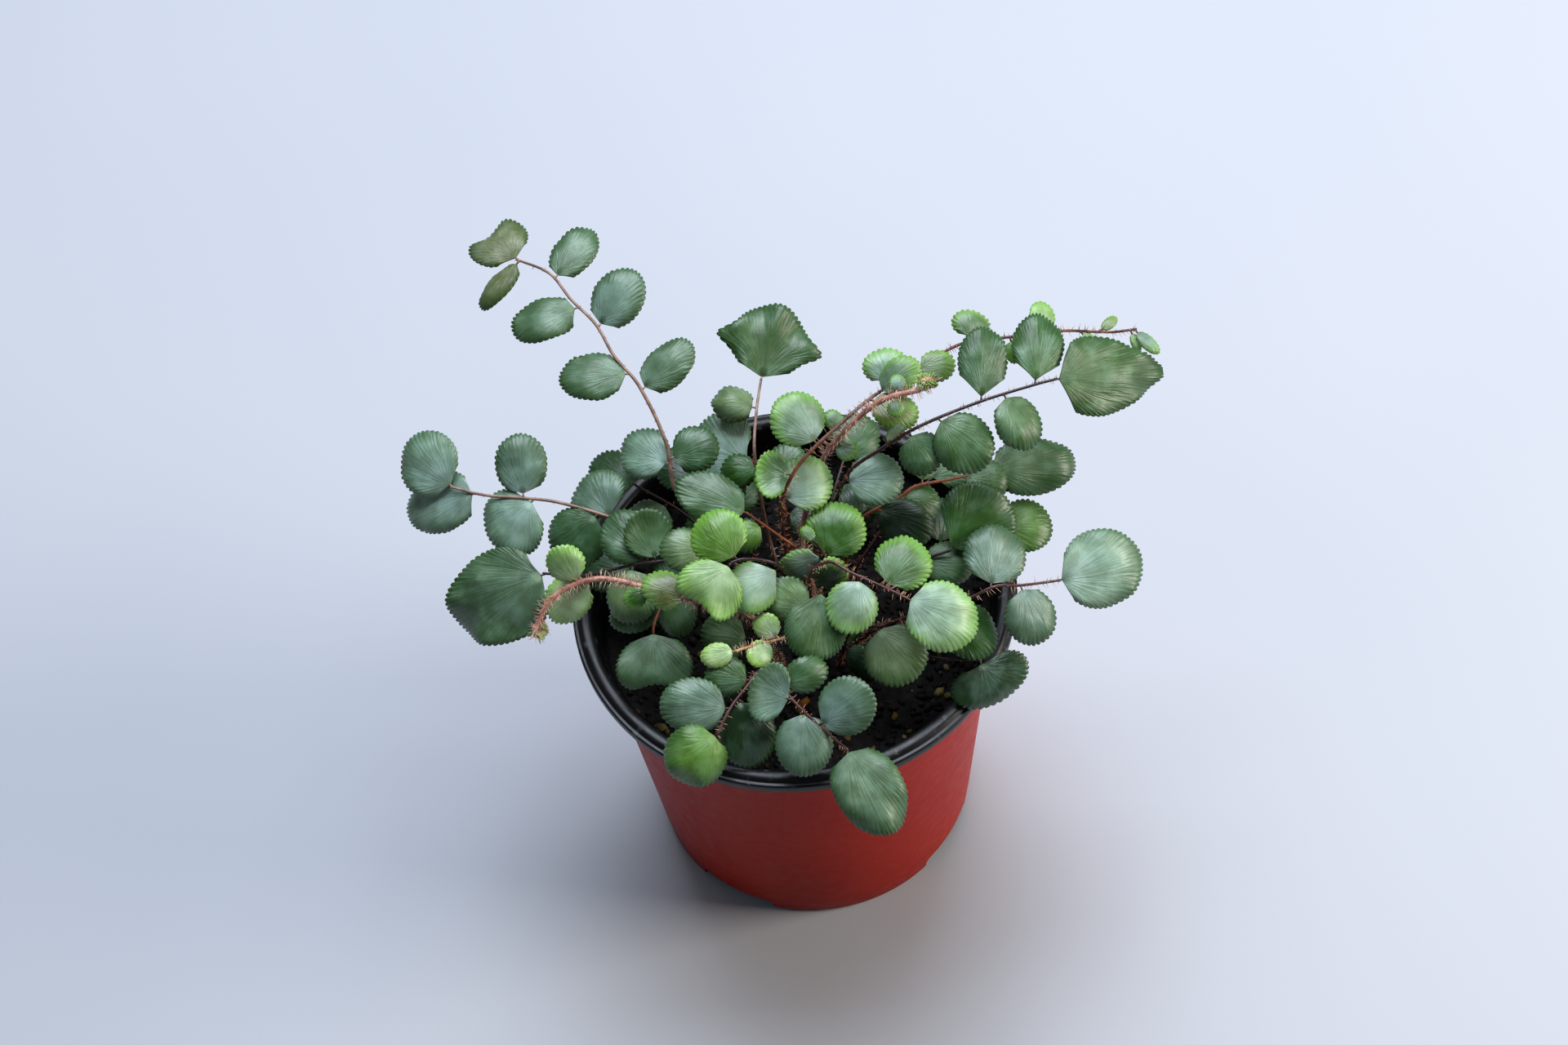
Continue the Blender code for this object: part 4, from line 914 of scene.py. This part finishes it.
def make_blade(leaflet):
    """A closed leathery blade whose mesh fans out from the petiole: two straight entire sides at the
    base, then a crenate margin. Its UV holds the scallop number and the reach from the petiole, 0 to 1.
    Faces under it take the second material."""
    form = FORMS[leaflet.form]
    is_bud = leaflet.form == "bud"
    draw = random.Random(f"{SEED} blade {leaflet.phase} {leaflet.length}")
    size = (leaflet.length, leaflet.width)
    scallops = max(FEWEST_SCALLOPS, round(math.pi * sum(size) / 2 / SCALLOP_PITCH))
    depth = SCALLOP_OUT * (2 if is_bud else 4) / sum(size)
    start = draw.uniform(0, 400)
    wedge = math.radians(form["wedge"])
    bm = with_layers()
    reach = bm.verts.layers.float.new("reach")
    fan = bm.loops.layers.uv["fan"]
    rows = BUD_ROWS if is_bud else BLADE_ROWS
    bmesh.ops.create_grid(bm, x_segments=scallops * SCALLOP_POINTS, y_segments=rows, size=1.0)
    for face in bm.faces:
        for loop in face.loops:
            x, y, _ = loop.vert.co
            loop[fan].uv = ((x + 1) / 2 * scallops + math.floor(start), reach_of(y))
    for vertex in bm.verts:
        along, out = (vertex.co.x + 1) / 2, reach_of(vertex.co.y)
        turn = wedge + (math.tau - 2 * wedge) * along
        spot = Vector((-1 + out * (1 - math.cos(turn)), out * math.sin(turn), 0))
        rho, phi = spot.length, math.atan2(spot.y, -spot.x)
        lobe = abs(math.sin(math.pi * scallops * along)) ** 0.7
        bump = noise.noise(Vector((scallops * along * 0.8, start, 0)))
        ragged = noise.noise(Vector((math.cos(turn) * 1.6, math.sin(turn) * 1.6, start)))
        edge = (depth * (lobe - 0.6) * (1 + 0.5 * bump) + RAGGED * ragged) * out**7
        place = blade_point(rho, phi, *size, form, leaflet.phase, edge)
        rib = -math.cos(math.tau * scallops * along) * RIB_HEIGHT * (1 + bump) * out**6
        fine = noise.noise(Vector((place.x * 0.5, place.y * 0.5, start))) * FINE_RELIEF * out
        buckle = noise.noise(Vector((place.x * 0.15, place.y * 0.15, start))) * BUCKLE * leaflet.length * out
        turned_down = -TURNED_DOWN * out**6
        vertex.co = place + Vector((0, 0, rib + fine + (0 if is_bud else buckle + turned_down)))
        vertex[reach] = out
    bmesh.ops.remove_doubles(bm, verts=bm.verts, dist=1e-4)
    under = bm.faces[:]
    made = bmesh.ops.extrude_face_region(bm, geom=under, use_keep_orig=True)
    for face in under:
        face.material_index = UNDERSIDE
    for part in made["geom"]:
        if isinstance(part, bmesh.types.BMVert):
            part.co.z += BLADE * (1 - MARGIN_THINNING * part[reach] ** 8)
    bmesh.ops.translate(bm, vec=(0, 0, -BLADE / 2), verts=bm.verts)
    bmesh.ops.recalc_face_normals(bm, faces=bm.faces)
    tint(bm, linear(TONES[leaflet.tone]))
    return bm


def leaflet_frame(leaflet, base, tangent):
    """The leaflet's own axes: its blade faces the light and outwards, and nod and roll tip it from there."""
    outwards = Vector((base.x, base.y, 0.0))
    facing = (FACING + OUTWARD * outwards).normalized()
    along = (tangent - facing * tangent.dot(facing)).normalized()
    axis = Matrix.Rotation(math.radians(leaflet.swing), 3, facing) @ along
    across = facing.cross(axis)
    axis = Matrix.Rotation(math.radians(leaflet.nod), 3, across) @ axis
    across = Matrix.Rotation(math.radians(leaflet.roll), 3, axis) @ across
    return axes_at(base, axis, across, axis.cross(across))


def add_blade(bm, leaflet, placed):
    """A leaflet's blade in its place."""
    blade = make_blade(leaflet)
    bmesh.ops.transform(blade, matrix=placed, verts=blade.verts)
    join(bm, blade)


def add_petiole(bm, placed):
    """The short stalk between midrib and blade."""
    part = tube([Vector((0, 0, 0)), Vector((0.6, 0, 0.1)), Vector((PETIOLE_LENGTH + 0.5, 0, 0.05))],
                [0.36, 0.3, 0.2], 1)
    bmesh.ops.transform(part, matrix=placed, verts=part.verts)
    for face in part.faces:
        face.material_index = STALK
    join(bm, part)


def add_bristles(bm, line, radii, density, length, draw):
    """Stiff hair-like scales along a stalk, leaning towards its tip."""
    steps = [(b - a).length for a, b in zip(line, line[1:])]
    for k in draw.choices(range(len(steps)), weights=steps, k=round(sum(steps) * density)):
        along = (line[k + 1] - line[k]).normalized()
        side = along.orthogonal().normalized()
        side.rotate(Matrix.Rotation(draw.uniform(0, math.tau), 3, along))
        heading = (side + along * draw.uniform(-0.3, 0.7)).normalized()
        reach = length * draw.uniform(0.6, 1.15)
        root = line[k].lerp(line[k + 1], draw.random()) + side * radii[k] * 0.8
        turn = heading.to_track_quat("Z", "Y").to_matrix().to_4x4()
        placed = Matrix.Translation(root + heading * reach / 2) @ turn
        bmesh.ops.create_cone(bm, cap_ends=True, segments=3, radius1=BRISTLE_FOOT, radius2=BRISTLE_TIP,
                              depth=reach, matrix=placed)


def place_on(line, place):
    """The spot on a midrib at a place from 0 to 1, and the midrib's direction there."""
    index = min(round(place * (len(line) - 1)), len(line) - 1 - TIP_OVERRUN)
    ahead, behind = min(index + TANGENT_REACH, len(line) - 1), max(index - TANGENT_REACH, 0)
    return line[index], line[ahead] - line[behind]


def add_curled_tip(bm, points, centre):
    """The unopened leaflets of a coiled tip, folded flat against its outside like scales."""
    for k in range(3, len(points) - 1, 2):
        along = (points[k] - points[k - 1]).normalized()
        outward = (points[k] - centre).normalized()
        for swing in (48, -48):
            size = FOLDED_SIZE * (1 - 0.4 * k / len(points))
            axis = Matrix.Rotation(math.radians(swing), 3, outward) @ along
            place = points[k] + outward * 0.45 - axis * (PETIOLE_LENGTH + size / 4)
            leaflet = Leaflet(None, swing, size, size * 0.8, 0, 0, k + swing, "downy", "cupped")
            add_blade(bm, leaflet, axes_at(place, axis, outward.cross(axis), outward))


def keep_inside(bm):
    """Moves the points that would pass the modelled size back onto its faces."""
    low, high = (Vector(corner) / MM for corner in cad_box)
    for vertex in bm.verts:
        for k in range(3):
            vertex.co[k] = min(max(vertex.co[k], low[k] + 0.02), high[k] - 0.02)


def make_frond(name, finishes):
    """One frond: midrib, petioles, blades and bristles."""
    route, rows = FRONDS[name]
    line = midrib_line(route)
    draw = random.Random(f"{SEED} frond {name}")
    _, _, density, length = STALKS.get(name, USUAL_STALK)
    points = line[:-1:KNOT_STEP] + [line[-1]]
    winding = coil(line[-1], line[-1] - line[-3], *CROZIERS[name]) if name in CROZIERS else []
    points += winding
    root, tip = (CROZIER_RADIUS, COIL_RADIUS) if winding else (STALK_RADIUS, TIP_RADIUS)
    radii = [root + (tip - root) * k / (len(points) - 1) for k in range(len(points))]
    bm = tube(points, radii)
    for face in bm.faces:
        face.material_index = STALK
    bristles = with_layers()
    add_bristles(bristles, points, radii, density, length, draw)
    add_bristles(bristles, points[ROOT_KNOTS], radii[ROOT_KNOTS], ROOT_BRISTLES, ROOT_BRISTLE_LENGTH, draw)
    for face in bristles.faces:
        face.material_index = BRISTLE
    join(bm, bristles)
    for row in rows:
        leaflet = Leaflet(*row)
        placed = leaflet_frame(leaflet, *place_on(line, leaflet.place))
        add_petiole(bm, placed)
        add_blade(bm, leaflet, placed)
    if winding:
        add_curled_tip(bm, winding, winding[-1])
    keep_inside(bm)
    return add_piece(name + "_leaves", bm, finishes)


# ---- studio


def make_camera():
    """The photograph's viewpoint."""
    back = Vector((0.0, -math.cos(ELEVATION), math.sin(ELEVATION)))
    up = Vector((0.0, math.sin(ELEVATION), math.cos(ELEVATION)))
    right = Vector((1.0, 0.0, 0.0))
    leaned_right = right * math.cos(TILT) + up * math.sin(TILT)
    leaned_up = up * math.cos(TILT) - right * math.sin(TILT)
    data = bpy.data.cameras.new("camera")
    data.lens, data.sensor_width = LENS, SENSOR
    data.clip_start, data.clip_end = 0.01, 20.0
    camera = bpy.data.objects.new("camera", data)
    camera.matrix_world = axes_at((TARGET + back * DISTANCE) * MM, leaned_right, leaned_up, back)
    bpy.context.scene.collection.objects.link(camera)
    bpy.context.scene.camera = camera


def make_light(name, place, aim, size, watts, colour):
    """A square soft box that shines from a place towards a point, both in metres."""
    data = bpy.data.lights.new(name, "AREA")
    data.shape, data.size, data.energy, data.color = "SQUARE", size, watts, linear(colour)[:3]
    lamp = bpy.data.objects.new(name, data)
    lamp.location = place
    lamp.rotation_mode = "QUATERNION"
    lamp.rotation_quaternion = (Vector(aim) - Vector(place)).to_track_quat("-Z", "Y")
    bpy.context.scene.collection.objects.link(lamp)


def make_studio():
    """A pale floor under a broad overhead soft box set well back, a side box on the right and the room's
    own pale light."""
    bm = bmesh.new()
    bmesh.ops.create_grid(bm, x_segments=2, y_segments=2, size=4000.0)
    floor = add_piece("floor", bm, [floor_finish()])
    make_light("overhead_box", (0.05, 0.5, 1.15), (0, 0, 0.12), 0.9, 25.0, "#e8f1ff")
    make_light("side_box", (1.0, -0.15, 0.55), (0, 0, 0.07), 0.45, 11.0, "#fff6ea")
    world = bpy.data.worlds.new("studio")
    world.use_nodes = True
    feed(world.node_tree, world.node_tree.nodes["Background"], {"Color": "#dde6f4", "Strength": 0.14})
    bpy.context.scene.world = world
    bpy.context.scene.view_settings.view_transform = "Standard"


def main():
    """The camera, every piece in place of its node, and the studio."""
    make_camera()
    leaves = {age: leaf_finish(*values) for age, values in LEAF_FINISHES.items()}
    stalks = {kind: stalk_finish(*values) for kind, values in STALK_FINISHES.items()}
    for name in FRONDS:
        age = AGES.get(name, "mature")
        rind, hair, _, _ = STALKS.get(name, USUAL_STALK)
        frond = make_frond(name, [leaves[age], leaves["under"], stalks[rind], stalks[hair]])
        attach(frond, "root")
        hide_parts(name)
    pot, compost = make_pot(), make_soil()
    for piece, node, slot in ((pot, "pot", "pot_plastic"), (compost, "soil", "peat")):
        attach(piece, "root")
        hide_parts(node)
    make_studio()


main()
